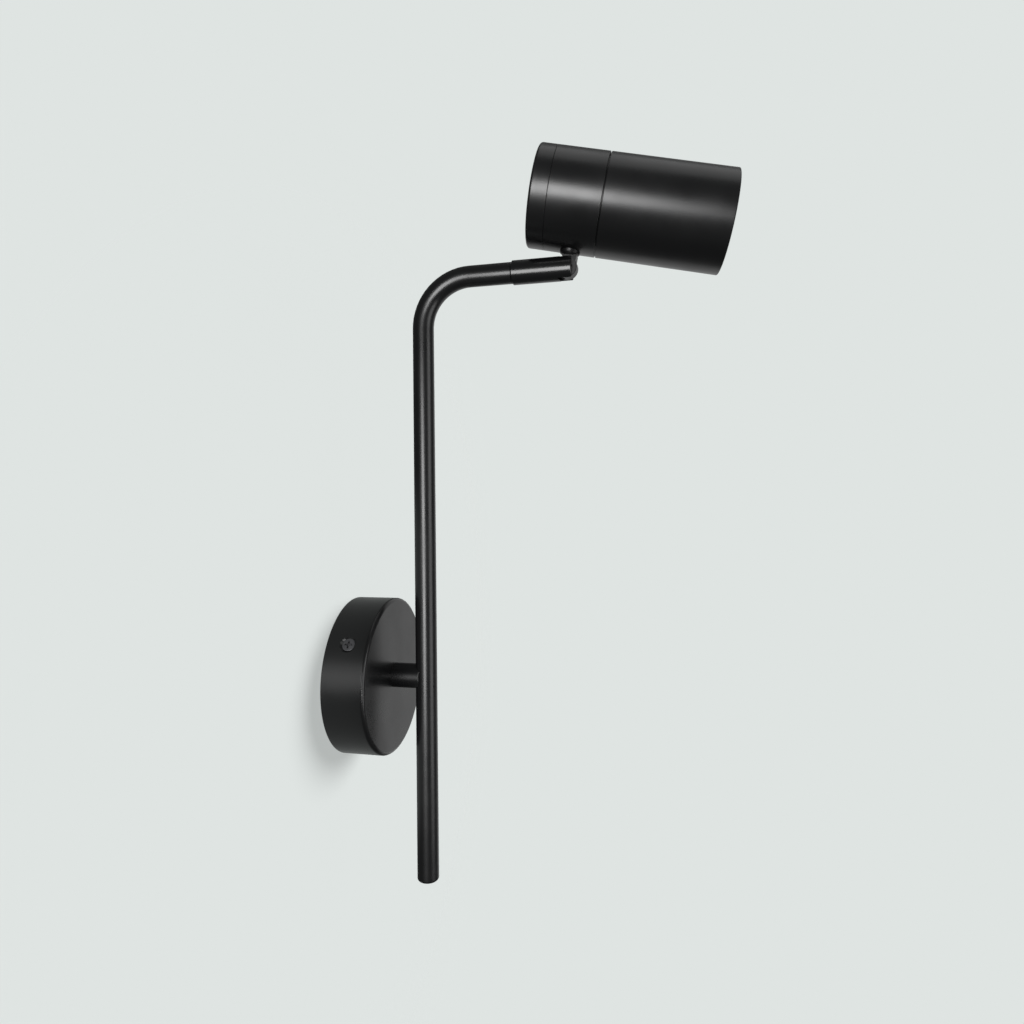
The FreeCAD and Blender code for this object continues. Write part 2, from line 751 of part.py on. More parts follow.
def swivel_sleeve():
    """Turned sleeve on the arm's end, forked round the knuckle's blade."""
    level = arm_level_up
    body = rod(sleeve_radius, at(0, arm_end_out + sleeve_seam, level),
               at(0, sleeve_end_out, level))
    rims = circle_edges(body, sleeve_radius, lambda centre: True)
    body = body.makeChamfer(turned_edge, rims)
    spigot_start = arm_end_out - sleeve_spigot_length
    spigot = rod(arm_bore_radius - fit_clearance, at(0, spigot_start, level),
                 at(0, sleeve_end_out - beyond, level))
    bore = rod(sleeve_bore_radius, at(0, spigot_start - beyond, level), at(0, pivot_out, level))
    slot = [rod(slot_end_radius, *across_pivot(-cheek_inside, cheek_inside)),
            block(at(-cheek_inside, pivot_out, level - 2 * sleeve_radius),
                  at(cheek_inside, sleeve_end_out + beyond, level + 2 * sleeve_radius))]
    screw = rod(m4_radius + thread_clearance,
                *across_pivot(-pivot_blind_reach - free_gap, sleeve_radius))
    counterbore = rod(pivot_screw_head_radius + thread_clearance,
                      *across_pivot(pivot_counterbore_floor, 2 * sleeve_radius))
    return joined([body, spigot]).cut([bore, screw, counterbore] + slot)


def pivot_screw():
    """Low-headed socket screw from the +X side, blind in the other cheek."""
    under_head = pivot_counterbore_floor + seat_clearance
    top = under_head + pivot_screw_head_height
    body = turned([(0, 0), (pivot_screw_head_radius, 0),
                   (pivot_screw_head_radius, pivot_screw_head_height),
                   (m4_radius, pivot_screw_head_height), (m4_radius, top + pivot_blind_reach),
                   (0, top + pivot_blind_reach)], pivot_point() + ACROSS * top, -ACROSS)
    socket = hexagon(socket_across_flats, *across_pivot(top - recess_depth, top + beyond))
    return body.cut(socket)


def friction_washers():
    """Washers between the blade and the two cheeks."""
    inner = blade_half + sliding_gap
    washer = ring(eye_radius - friction_washer_inset, m4_radius + running_clearance,
                  *across_pivot(inner, inner + friction_washer_thickness))
    return [washer, spun(washer, 180, UP, pivot_point())]


def knuckle_tongue():
    """Blade, neck, collar and hollow stud, drawn with the pivot at the origin."""
    eye = rod(eye_radius, ACROSS * -blade_half, ACROSS * blade_half)
    neck = block(Vector(-blade_half, -neck_front, 0),
                 Vector(blade_half, neck_back, collar_foot_height + neck_overlap))
    stem = turned([(0, collar_foot_height), (collar_foot_radius, collar_foot_height),
                   (collar_top_radius, collar_top_height - collar_band),
                   (collar_top_radius, collar_top_height), (stud_radius, collar_top_height),
                   (stud_radius, stud_top_height), (0, stud_top_height)], Vector(), UP)
    body = joined([eye, neck, stem])
    half = wireway_half
    channel = block(Vector(-half, 0, -2 * eye_radius),
                    Vector(half, 2 * eye_radius, collar_foot_height + wireway_rise))
    channel = channel.cut(rod(pivot_boss_radius, ACROSS * -half, ACROSS * half))
    above = stud_top_height + beyond
    flat = block(Vector(-2 * stud_radius, stud_radius - stud_flat_depth, inner_seat_top),
                 Vector(2 * stud_radius, 2 * stud_radius, above))
    return body.cut([channel, flat, rod(stud_bore_radius, UP * pivot_boss_radius, UP * above),
                     rod(m4_radius + running_clearance, ACROSS * -eye_radius, ACROSS * eye_radius)])


def knuckle_lead_sleeve():
    """Braided sleeving that carries the leads through the knuckle and its stud."""
    rear = pivot_boss_radius + sleeving_radius + sleeving_boss_gap
    path = route([Vector(0, rear, sleeving_foot), Vector(0, rear, sleeving_rise),
                  UP * (collar_foot_height - sleeving_crossing), UP * sleeving_top],
                 [sleeving_lower_bend_radius, sleeving_upper_bend_radius])
    return swept(sleeving_radius, path)


def pan_friction_washer():
    """Washer that rubs on the inner seat as the head pans."""
    return ring(inner_seat_radius, stud_radius + running_clearance, UP * pan_washer_base,
                UP * (pan_washer_base + pan_washer_thickness))


def stop_washer():
    """Washer keyed to the stud's flat, with the tab that ends the pan."""
    top = stop_washer_base + stop_washer_thickness
    disc = rod(inner_seat_radius, UP * stop_washer_base, UP * top)
    tab = block(Vector(-stop_tab_width / 2, -inner_seat_radius - stop_tab_length,
                       stop_washer_base), Vector(stop_tab_width / 2, 0, top))
    below, above = stop_washer_base - beyond, top + beyond
    hole = rod(stud_radius + thread_clearance, UP * below, UP * above)
    keyed = stud_radius - stud_flat_depth + thread_clearance
    key = block(Vector(-2 * stud_radius, keyed, below),
                Vector(2 * stud_radius, 2 * stud_radius, above))
    return joined([disc, tab]).cut(hole.cut(key))


def stud_nut():
    """Thin nut that holds the head on the stud."""
    nut = hexagon(nut_across_flats, UP * stud_nut_base, UP * (stud_nut_base + stud_nut_thickness))
    return nut.cut(rod(stud_radius + thread_clearance, UP * collar_top_height,
                       UP * (stud_top_height + beyond)))


# ---- Head, drawn level above the pivot ----------------------------------------------------
def head_turned(outline):
    """Lathe part on the head's axis: (radius, distance from the head's back) points."""
    return turned(outline, in_head(0, 0), OUT)


def head_rod(radius, start, end, across=0.0, below=0.0):
    """Round bar along the head, between two distances from its back."""
    return rod(radius, in_head(across, start, below), in_head(across, end, below))


def swivel_seat():
    """Ring between the collar and the head's underside."""
    body = ring(collar_top_radius + seat_step, stud_radius + running_clearance, UP * seat_bottom,
                UP * head_axis_height)
    return body.cut(head_rod(head_radius, -head_length, head_length))


def inner_seat():
    """Saddle washer that gives the head's curved inside a flat seat."""
    body = ring(inner_seat_radius, stud_radius + running_clearance, UP * seat_bottom,
                UP * inner_seat_top)
    return body.common(head_rod(housing_bore_radius, 0, head_length))


def stop_pin_foot():
    """Bottom of the stop pin's blind hole."""
    return Vector(0, inner_seat_radius + stop_pin_offset,
                  head_axis_height - housing_bore_radius - stop_pin_depth)


def pan_stop_pin():
    """Pin in the head's wall that the stop washer's tab meets."""
    foot = stop_pin_foot() + UP * seat_clearance
    top = Vector(0, foot.y, stud_nut_base - stop_pin_gap)
    return rod(stop_pin_radius, foot, top)


def rear_cap():
    """Back cover of the head, with the spigot that screws into the housing."""
    spigot = housing_counterbore_radius - fit_clearance
    spigot_end = cap_length + cap_spigot_length
    inside = head_radius - cap_wall
    cap = head_turned([(0, 0), (head_radius, 0), (head_radius, cap_length - seam_chamfer),
                       (head_radius - seam_chamfer, cap_length), (spigot, cap_length),
                       (spigot, spigot_end), (inside, spigot_end), (inside, cap_back_wall),
                       (0, cap_back_wall)])
    return cap.makeFillet(cap_edge_radius, circle_edges(cap, head_radius, near(in_head(0, 0))))


def rear_housing():
    """Fixed half of the head, on the stud, with a spigot for the barrel."""
    spigot = barrel_bore_radius - fit_clearance
    spigot_end = housing_end + housing_spigot_length
    seat = plate_front + seat_clearance
    body = head_turned([(housing_counterbore_radius, cap_length),
                        (head_radius - seam_chamfer, cap_length),
                        (head_radius, cap_length + seam_chamfer),
                        (head_radius, housing_end - seam_chamfer),
                        (head_radius - seam_chamfer, housing_end), (spigot, housing_end),
                        (spigot, spigot_end), (housing_bore_radius, spigot_end),
                        (housing_bore_radius, seat), (housing_counterbore_radius, seat)])
    stud_hole = rod(stud_radius + running_clearance, UP * seat_bottom, UP * inner_seat_top)
    foot = stop_pin_foot()
    pin_hole = rod(stop_pin_radius + seat_clearance, foot,
                   Vector(0, foot.y, stop_washer_base))
    return body.cut([stud_hole, pin_hole])


def front_barrel():
    """Front tube of the head, unscrewed to reach the lamp."""
    edge = barrel_rim_chamfer
    return head_turned([(barrel_bore_radius, barrel_back),
                        (head_radius - seam_chamfer, barrel_back),
                        (head_radius, barrel_back + seam_chamfer),
                        (head_radius, head_length - edge), (head_radius - edge, head_length),
                        (barrel_bore_radius + edge, head_length),
                        (barrel_bore_radius, head_length - edge)])


def holder_plate():
    """Plate that carries the lampholder, clamped between cap and housing."""
    disc = head_rod(housing_counterbore_radius - fit_clearance, plate_back, plate_front)
    start, end = plate_back - beyond, plate_front + beyond
    below = block(in_head(-head_radius, start, plate_chord),
                  in_head(head_radius, end, head_radius))
    holes = [(plate_centre_hole_radius, 0, 0), (lead_hole_radius, 0, lead_drop),
             (m3_radius + thread_clearance, head_earth_across, head_earth_drop)]
    holes += [(m3_radius + thread_clearance, side * holder_screw_across, 0) for side in (-1, 1)]
    return disc.cut([below] + [head_rod(radius, start, end, across, drop)
                               for radius, across, drop in holes])


def twist_slot(half_width, start, end):
    """Cutter: two opposite curved slots that the lamp's pins turn in."""
    outer, inner = pin_offset + half_width, pin_offset - half_width
    depth = end - start
    origin = in_head(0, start)
    sector = Part.makeCylinder(outer, depth, Vector(), UP, lamp_twist_angle).cut(
        Part.makeCylinder(inner, depth))
    first = Part.makeCylinder(half_width, depth, Vector(pin_offset, 0, 0))
    slot = joined([sector, first, spun(first, lamp_twist_angle, UP)])
    slot.Placement = Placement(origin, Rotation(ACROSS, UP, OUT, "ZXY"))
    return slot.fuse(spun(slot, 180, OUT, origin))


def lampholder():
    """Ceramic holder with two keyhole slots for the lamp's pins."""
    body = block(in_head(-holder_half_width, plate_front, -holder_half_height),
                 in_head(holder_half_width, holder_front, holder_half_height))
    sides = [e for e in body.Edges if e.BoundBox.YLength > holder_length / 2]
    body = body.makeFillet(holder_edge_radius, sides)
    floor = plate_front + holder_floor
    face = holder_front - holder_face
    before, past = plate_front - beyond, holder_front + beyond
    cutters = [twist_slot(pin_head_radius + pin_play, floor, face),
               twist_slot(pin_radius + pin_play, face - overlap, past),
               head_rod(holder_lead_bore_radius, before, plate_front + holder_lead_bore_depth)]
    entry = head_rod(pin_head_radius + pin_play, face - overlap, past, pin_offset)
    cutters += [spun(entry, lamp_twist_angle + half_turn, OUT, in_head(0, 0))
                for half_turn in (0, 180)]
    head_seat = holder_front - holder_screw_sunk - m3_head_height
    for side in (-1, 1):
        across = side * holder_screw_across
        cutters.append(head_rod(m3_radius + thread_clearance, before, past, across))
        cutters.append(head_rod(m3_head_radius + 2 * thread_clearance,
                                head_seat - seat_clearance, past, across))
    return body.cut(cutters)


def holder_screws():
    """Screws that hold the lampholder on its plate."""
    seat = holder_front - holder_screw_sunk - m3_head_height
    return [pan_screw(m3_radius, m3_head_radius, m3_head_height, seat - plate_back + screw_tail,
                      in_head(side * holder_screw_across, seat), -OUT) for side in (-1, 1)]


def holder_contacts():
    """Contacts on the holder's floor, under the lamp's pins."""
    floor = plate_front + holder_floor
    tip = lamp_back - pin_length - free_gap
    return [head_rod(contact_radius, floor, tip, side * pin_offset) for side in (-1, 1)]


def head_lead(across):
    """Lead from the stud, through the plate's lower hole and back into the holder."""
    turn_back = cap_back_wall + head_lead_bend
    return swept(head_lead_radius, route([
        Vector(across, head_lead_offset, head_lead_start),
        Vector(across, head_lead_offset, head_lead_level),
        in_head(across, turn_back, lead_drop), in_head(across, turn_back, 0),
        in_head(across, plate_front + holder_lead_bore_depth - head_lead_stop, 0)],
        [head_lead_first_bend, head_lead_bend, head_lead_bend]))


def head_earth_lead():
    """Earth lead from the stud to the ring under the plate's earth screw."""
    level = head_axis_height - head_earth_drop
    seat = in_head(head_earth_across, plate_front, head_earth_drop)
    grip = seat + ACROSS * (head_ring_radius + ring_tongue_length / 2)
    wire = swept(head_lead_radius, route([
        Vector(0, -head_earth_lead_offset, head_lead_start),
        Vector(0, -head_earth_lead_offset, level), Vector(grip.x, -head_earth_lead_offset, level),
        grip + OUT * (ring_terminal_thickness / 2)],
        [head_earth_lead_first_bend, head_earth_lead_bend]))
    ring_tag = ring_terminal(head_ring_radius, m3_radius + thread_clearance, head_ring_radius,
                             seat, ACROSS)
    return joined([wire, ring_tag])


def head_earth_screw():
    """Earth screw in the holder plate."""
    seat = plate_front + ring_terminal_thickness + 2 * seat_clearance
    return pan_screw(m3_radius, m3_head_radius, m3_head_height, seat - plate_back + screw_tail,
                     in_head(head_earth_across, seat, head_earth_drop), -OUT)


# ---- Lamp ---------------------------------------------------------------------------------
def lamp_housing():
    """Body of the push-and-twist reflector lamp, open at the front."""
    rim = lamp_front - lamp_rim_height
    base_top = lamp_back + lamp_base_height
    lens_seat = lamp_front - lamp_lens_sunk - lamp_lens_thickness - seat_clearance
    cup_radius = lamp_lens_radius - lens_ledge
    lens_bore = lamp_lens_radius + seat_clearance
    waist = (base_top + rim) / 2
    waist_radius = lamp_base_radius + lamp_waist_share * (lamp_rim_radius - lamp_base_radius)
    floor = lamp_front - lamp_cup_depth
    return head_turned([
        (0, lamp_back), (lamp_base_radius, lamp_back), (lamp_base_radius, base_top),
        (waist_radius, waist), (lamp_rim_radius, rim),
        (lamp_rim_radius, lamp_front - lamp_rim_chamfer),
        (lamp_rim_radius - lamp_rim_chamfer, lamp_front), (lens_bore, lamp_front),
        (lens_bore, lens_seat),
        (cup_radius, lens_seat), (lamp_floor_radius, floor), (0, floor)])


def lamp_lens():
    """Clear front lens with its collimating cone."""
    top = lamp_front - lamp_lens_sunk
    flange = top - lamp_lens_thickness
    foot = flange - lens_foot_depth
    return head_turned([(0, foot), (lens_foot_radius, foot),
                        (lamp_lens_radius - lens_flange_width, flange),
                        (lamp_lens_radius, flange), (lamp_lens_radius, top), (0, top)])


def lamp_led_board():
    """Round board with the light source in the middle."""
    floor = lamp_front - lamp_cup_depth + seat_clearance
    top = floor + led_board_thickness
    return head_turned([(0, floor), (led_board_radius, floor), (led_board_radius, top),
                        (led_radius, top), (led_radius, top + led_height),
                        (0, top + led_height)])


def lamp_pins():
    """Two headed pins of the lamp's base."""
    shank = pin_length - pin_head_length
    return [turned([(0, 0), (pin_radius, 0), (pin_radius, shank), (pin_head_radius, shank),
                    (pin_head_radius, pin_length), (0, pin_length)],
                   in_head(side * pin_offset, lamp_back), -OUT) for side in (-1, 1)]


# ---- Rest places and output ---------------------------------------------------------------
fixed_parts = {
    "wall_bracket": wall_bracket(),
    "canopy": canopy(),
    "canopy_screws": canopy_screws(),
    "terminal_block": terminal_block(),
    "terminal_inserts": terminal_inserts(),
    "terminal_screws": terminal_screws(),
    "terminal_fixing_screws": terminal_fixing_screws(),
    "earth_washer": earth_washer(),
    "earth_screw": earth_screw(),
    "earth_jumper": earth_jumper(),
    "live_lead": lead(-lead_pitch, poles()[0], canopy_lead_bend),
    "earth_lead": lead(0, poles()[1], canopy_lead_bend),
    "neutral_lead": lead(lead_pitch, poles()[2], canopy_lead_bend),
    "stem_boss": stem_boss(),
    "hollow_nipple": hollow_nipple(),
    "nipple_nut": nipple_nut(),
    "lock_washer": lock_washer(),
    "lead_bush": lead_bush(),
    "arm_tube": arm_tube(),
    "arm_end_plug": arm_end_plug(),
    "swivel_sleeve": swivel_sleeve(),
    "pivot_screw": pivot_screw(),
    "friction_washers": friction_washers(),
}

knuckle_parts = {
    "knuckle_tongue": knuckle_tongue(),
    "knuckle_lead_sleeve": knuckle_lead_sleeve(),
    "pan_friction_washer": pan_friction_washer(),
    "stop_washer": stop_washer(),
    "stud_nut": stud_nut(),
}

head_parts = {
    "swivel_seat": swivel_seat(),
    "inner_seat": inner_seat(),
    "pan_stop_pin": pan_stop_pin(),
    "rear_cap": rear_cap(),
    "rear_housing": rear_housing(),
    "front_barrel": front_barrel(),
    "holder_plate": holder_plate(),
    "lampholder": lampholder(),
    "holder_screws": holder_screws(),
    "holder_contacts": holder_contacts(),
    "head_live_lead": head_lead(-head_lead_spread),
    "head_neutral_lead": head_lead(head_lead_spread),
    "head_earth_lead": head_earth_lead(),
    "head_earth_screw": head_earth_screw(),
    "lamp_housing": lamp_housing(),
    "lamp_lens": lamp_lens(),
    "lamp_led_board": lamp_led_board(),
    "lamp_pins": lamp_pins(),
}


def write(name, shape, place):
    """Puts a sub-part in its place and writes its file."""
    solid = Part.makeCompound(shape) if isinstance(shape, list) else shape
    solid = solid.copy()
    solid.Placement = place.multiply(solid.Placement)
    solid.exportStep(os.path.join("parts", name + ".step"))


tilted = Placement(pivot_point(), Rotation(ACROSS, head_tilt_at_rest))
panned = tilted.multiply(Placement(Vector(), Rotation(UP, head_pan_at_rest)))

os.makedirs("parts", exist_ok=True)
for group, place in ((fixed_parts, Placement()), (knuckle_parts, tilted), (head_parts, panned)):
    for name, shape in group.items():
        write(name, shape, place)
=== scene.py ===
import json
import math

import bmesh
import bpy
from mathutils import Matrix, Vector

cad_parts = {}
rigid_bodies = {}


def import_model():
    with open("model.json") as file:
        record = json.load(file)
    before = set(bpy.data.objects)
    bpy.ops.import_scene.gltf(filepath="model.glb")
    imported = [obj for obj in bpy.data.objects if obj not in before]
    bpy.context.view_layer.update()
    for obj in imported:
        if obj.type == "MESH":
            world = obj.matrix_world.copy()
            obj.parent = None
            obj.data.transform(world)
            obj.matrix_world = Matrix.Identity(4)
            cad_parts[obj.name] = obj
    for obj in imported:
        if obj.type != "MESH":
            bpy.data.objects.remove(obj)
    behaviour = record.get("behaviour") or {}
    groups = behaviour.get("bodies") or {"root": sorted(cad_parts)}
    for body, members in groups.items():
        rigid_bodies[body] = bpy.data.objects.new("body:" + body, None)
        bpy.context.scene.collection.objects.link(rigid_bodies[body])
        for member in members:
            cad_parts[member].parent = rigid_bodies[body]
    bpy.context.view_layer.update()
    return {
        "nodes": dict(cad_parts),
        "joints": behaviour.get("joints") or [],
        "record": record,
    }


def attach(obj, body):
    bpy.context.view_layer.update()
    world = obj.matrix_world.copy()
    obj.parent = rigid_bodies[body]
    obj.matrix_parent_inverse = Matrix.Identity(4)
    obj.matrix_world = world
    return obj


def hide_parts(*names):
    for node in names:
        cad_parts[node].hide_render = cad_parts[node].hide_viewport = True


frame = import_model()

scene = bpy.context.scene
nodes = frame["nodes"]
joints = {joint["name"]: joint for joint in frame["joints"]}
MM = 0.001


# ---- Camera ---------------------------------------------------------------------------------
# Fitted to the outlines in the photograph, which is 1024 pixels square.
PICTURE = 1024
CAMERA_PLACE = Vector((-383.206, -182.719, 102.952)) * MM
CAMERA_FORWARD = Vector((0.973372, 0.226788, 0.033371))
CAMERA_ROLL = -0.01326
FOCAL_PIXELS = 713.669
CENTRE_ROW = 468
SENSOR = 36.0


def make_camera():
    forward = CAMERA_FORWARD.normalized()
    right = forward.cross(Vector((0, 0, 1))).normalized()
    up = right.cross(forward)
    rolled_right = right * math.cos(CAMERA_ROLL) + up * math.sin(CAMERA_ROLL)
    rolled_up = up * math.cos(CAMERA_ROLL) - right * math.sin(CAMERA_ROLL)
    data = bpy.data.cameras.new("camera")
    data.sensor_fit = "HORIZONTAL"
    data.sensor_width = SENSOR
    data.lens = FOCAL_PIXELS * SENSOR / PICTURE
    data.shift_y = (CENTRE_ROW - PICTURE / 2) / PICTURE
    data.clip_start = 0.01
    camera = bpy.data.objects.new("camera", data)
    turn = Matrix((rolled_right, rolled_up, -forward)).transposed()
    camera.matrix_world = Matrix.Translation(CAMERA_PLACE) @ turn.to_4x4()
    scene.collection.objects.link(camera)
    scene.camera = camera


make_camera()


# ---- Materials ------------------------------------------------------------------------------
def srgb(red, green, blue):
    """Linear colour of an 8-bit sRGB one."""
    def linear(value):
        share = value / 255
        return share / 12.92 if share <= 0.04045 else ((share + 0.055) / 1.055) ** 2.4
    return (linear(red), linear(green), linear(blue), 1.0)


class Material:
    """A node material with one Principled shader, whose inputs are set or linked by name."""

    def __init__(self, name, colour, roughness=0.5, metallic=0.0, **sockets):
        self.data = bpy.data.materials.new(name)
        self.data.use_nodes = True
        self.tree = self.data.node_tree
        self.shader = self.tree.nodes["Principled BSDF"]
        self.place = self.node("ShaderNodeTexCoord").outputs["Object"]
        self.set("Base Color", colour)
        self.set("Roughness", roughness)
        self.set("Metallic", metallic)
        for socket, value in sockets.items():
            self.set(socket.replace("_", " "), value)

    def node(self, kind, **settings):
        made = self.tree.nodes.new(kind)
        for name, value in settings.items():
            setattr(made, name, value)
        return made

    def set(self, socket, value):
        self.shader.inputs[socket].default_value = value

    def link(self, source, target):
        self.tree.links.new(source, target)

    def noise(self, size, detail):
        """Noise of a real size in millimetres, about 0 to 1."""
        texture = self.node("ShaderNodeTexNoise")
        texture.inputs["Scale"].default_value = 1 / (size * MM)
        texture.inputs["Detail"].default_value = detail
        self.link(self.place, texture.inputs["Vector"])
        return texture.outputs["Fac"]

    def ramp(self, source, low, high, start, end):
        """Numbers from low to high as the source goes from start to end."""
        mapped = self.node("ShaderNodeMapRange")
        for name, value in (("From Min", start), ("From Max", end), ("To Min", low),
                            ("To Max", high)):
            mapped.inputs[name].default_value = value
        self.link(source, mapped.inputs["Value"])
        return mapped.outputs["Result"]

    def colours(self, source, first, last, start, end):
        """Colours from first to last as the source goes from start to end."""
        mix = self.node("ShaderNodeMix", data_type="RGBA")
        mix.inputs["A"].default_value = first
        mix.inputs["B"].default_value = last
        self.link(self.ramp(source, 0.0, 1.0, start, end), mix.inputs["Factor"])
        return mix.outputs["Result"]

    def bump(self, height, depth):
        """Relief of a real depth in millimetres."""
        made = self.node("ShaderNodeBump")
        made.inputs["Strength"].default_value = 1.0
        made.inputs["Distance"].default_value = depth * MM
        self.link(height, made.inputs["Height"])
        self.link(made.outputs["Normal"], self.shader.inputs["Normal"])

    def drive(self, socket, source):
        """Feeds a socket of the shader from another node."""
        self.link(source, self.shader.inputs[socket])


# Noise sizes and relief depths in millimetres.
COAT_CLOUD, METAL_CLOUD, PLASTIC_CLOUD = 18, 6, 8
METAL_GRAIN, PLASTIC_GRAIN = 0.4, 0.5
METAL_RELIEF, PLASTIC_RELIEF = 0.004, 0.01
# Values of the noise between which a shade goes from one end to the other.
EVENLY = (0.3, 0.7)
IN_PATCHES = (0.35, 0.7)


def powder_coat(name, roughness, grain):
    """Satin black powder coat: fine pebbled relief, slight unevenness of shine and colour."""
    made = Material(name, srgb(13, 13, 14), roughness)
    cloud = made.noise(COAT_CLOUD, 4)
    fine = made.noise(grain, 2)
    made.drive("Roughness", made.ramp(cloud, roughness - 0.03, roughness + 0.04, *EVENLY))
    made.drive("Base Color", made.colours(fine, srgb(11, 11, 12), srgb(16, 16, 17), *EVENLY))
    made.bump(fine, METAL_RELIEF)
    return made.data


def plated(name, colour, darker, roughness, metallic=1.0):
    """Plated or turned metal: fine grain and duller patches."""
    made = Material(name, colour, roughness, metallic)
    cloud = made.noise(METAL_CLOUD, 4)
    grain = made.noise(METAL_GRAIN, 3)
    made.drive("Base Color", made.colours(cloud, colour, darker, *IN_PATCHES))
    made.drive("Roughness", made.ramp(grain, roughness - 0.06, roughness + 0.08, *EVENLY))
    made.bump(grain, METAL_RELIEF)
    return made.data


def moulded(name, colour, darker, roughness, grain=PLASTIC_GRAIN, depth=PLASTIC_RELIEF):
    """Moulded plastic, ceramic or insulation: fine texture and slight mottling."""
    made = Material(name, colour, roughness)
    cloud = made.noise(PLASTIC_CLOUD, 3)
    fine = made.noise(grain, 2)
    made.drive("Base Color", made.colours(cloud, colour, darker, *IN_PATCHES))
    made.drive("Roughness", made.ramp(fine, roughness - 0.05, roughness + 0.05, *EVENLY))
    made.bump(fine, depth)
    return made.data


LEAD_GREEN, LEAD_YELLOW = srgb(62, 140, 44), srgb(226, 204, 52)
STRIPE_SIDE = (0.71, 0.36, 0.61)     # the side of the lead that the stripe faces
STRIPE_EDGE = (0.44, 0.50)           # from green to yellow, as the surface turns to that side


def striped_lead():
    """Green insulation with a yellow stripe along two sides of the lead."""
    made = Material("earth_lead_green", LEAD_GREEN, 0.4)
    side = made.node("ShaderNodeVectorMath", operation="DOT_PRODUCT")
    side.inputs[1].default_value = STRIPE_SIDE
    made.link(made.node("ShaderNodeTexCoord").outputs["Normal"], side.inputs[0])
    across = made.node("ShaderNodeMath", operation="ABSOLUTE")
    made.link(side.outputs["Value"], across.inputs[0])
    made.drive("Base Color",
               made.colours(across.outputs[0], LEAD_GREEN, LEAD_YELLOW, *STRIPE_EDGE))
    fine = made.noise(PLASTIC_GRAIN, 2)
    made.drive("Roughness", made.ramp(fine, 0.35, 0.46, *EVENLY))
    made.bump(fine, PLASTIC_RELIEF)
    return made.data


LENS_WAVE = 2.5          # millimetres


def clear_lens():
    """Clear moulded plastic with slight waves."""
    made = Material("clear_lens", (0.95, 0.97, 0.98, 1), 0.06, 0.0, IOR=1.49,
                    Transmission_Weight=1.0)
    made.bump(made.noise(LENS_WAVE, 2), PLASTIC_RELIEF)
    return made.data


finishes = {
    "black_steel": powder_coat("black_steel", 0.29, 0.35),
    "black_aluminium": powder_coat("black_aluminium", 0.31, 0.3),
    "black_screw": plated("black_screw", srgb(78, 78, 80), srgb(62, 62, 64), 0.36, 0.35),
    "zinc_steel": plated("zinc_steel", srgb(196, 198, 202), srgb(168, 170, 172), 0.34),
    "brass": plated("brass", srgb(214, 178, 96), srgb(190, 150, 78), 0.3),
    "nickel": plated("nickel", srgb(204, 202, 196), srgb(182, 180, 172), 0.24),
    "white_plastic": moulded("white_plastic", srgb(232, 232, 228), srgb(222, 222, 217), 0.42),
    "nylon": moulded("nylon", srgb(20, 20, 21), srgb(28, 28, 28), 0.45),
    "ceramic": moulded("ceramic", srgb(236, 232, 222), srgb(224, 219, 206), 0.6, 0.25, 0.02),
    "led_board": moulded("led_board", srgb(238, 238, 232), srgb(228, 228, 220), 0.35),
    "brown_lead": moulded("brown_lead", srgb(96, 54, 30), srgb(82, 44, 24), 0.4),
    "blue_lead": moulded("blue_lead", srgb(36, 92, 172), srgb(28, 78, 152), 0.4),
    "earth_lead_green": striped_lead(),
    "glass_braid": moulded("glass_braid", srgb(232, 230, 222), srgb(210, 206, 194), 0.7),
    "clear_lens": clear_lens(),
}

turned_black = powder_coat("turned_black", 0.22, 0.25)
machined_black = powder_coat("machined_black", 0.37, 0.25)
phosphor = moulded("phosphor", srgb(236, 190, 60), srgb(226, 178, 50), 0.35)

slot_of = {part["node"]: part["material_slot"] for part in frame["record"]["subparts"]}
for name, slot_name in slot_of.items():
    if not nodes[name].material_slots:
        nodes[name].data.materials.append(None)
    for slot in nodes[name].material_slots:
        slot.material = finishes[slot_name]
nodes["swivel_sleeve"].material_slots[0].material = turned_black
nodes["knuckle_tongue"].material_slots[0].material = machined_black


# ---- Mesh tools -----------------------------------------------------------------------------
WELD = 1e-7              # metres
ON_THE_CREST = 1e-6      # millimetres


def skin(rings):
    """Points and faces over rings of equal count; a ring of one point is a pole."""
    points, faces, starts = [], [], []
    for ring in rings:
        starts.append(len(points))
        points.extend(ring)
    for k in range(len(rings) - 1):
        a, b = starts[k], starts[k + 1]
        count = max(len(rings[k]), len(rings[k + 1]))
        for i in range(count):
            j = (i + 1) % count
            if len(rings[k]) == 1:
                faces.append((a, b + j, b + i))
            elif len(rings[k + 1]) == 1:
                faces.append((a + i, a + j, b))
            else:
                faces.append((a + i, a + j, b + j, b + i))
    return points, faces


def solid(name, parts, body, node, stands_for=(), material=None, sharp=30):
    """A piece from (points, faces) groups, with the finish of a CAD node's material slot."""
    shape = bmesh.new()
    for points, faces in parts:
        made = [shape.verts.new(point) for point in points]
        for face in faces:
            shape.faces.new([made[i] for i in face])
    bmesh.ops.remove_doubles(shape, verts=shape.verts, dist=WELD)
    bmesh.ops.recalc_face_normals(shape, faces=shape.faces)
    mesh = bpy.data.meshes.new(name)
    shape.to_mesh(mesh)
    shape.free()
    mesh.materials.append(material or finishes[slot_of[node]])
    mesh.shade_smooth()
    mesh.set_sharp_from_angle(angle=math.radians(sharp))
    piece = bpy.data.objects.new(name, mesh)
    scene.collection.objects.link(piece)
    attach(piece, body)
    if stands_for:
        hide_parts(*stands_for)
    return piece


def frame_at(origin, axis, up):
    """Millimetres in a frame whose Z is the axis, to metres in the shared one."""
    z = Vector(axis).normalized()
    y = (Vector(up) - z * Vector(up).dot(z)).normalized()
    turn = Matrix((y.cross(z), y, z)).transposed().to_4x4()
    return Matrix.Translation(origin) @ turn @ Matrix.Scale(MM, 4)


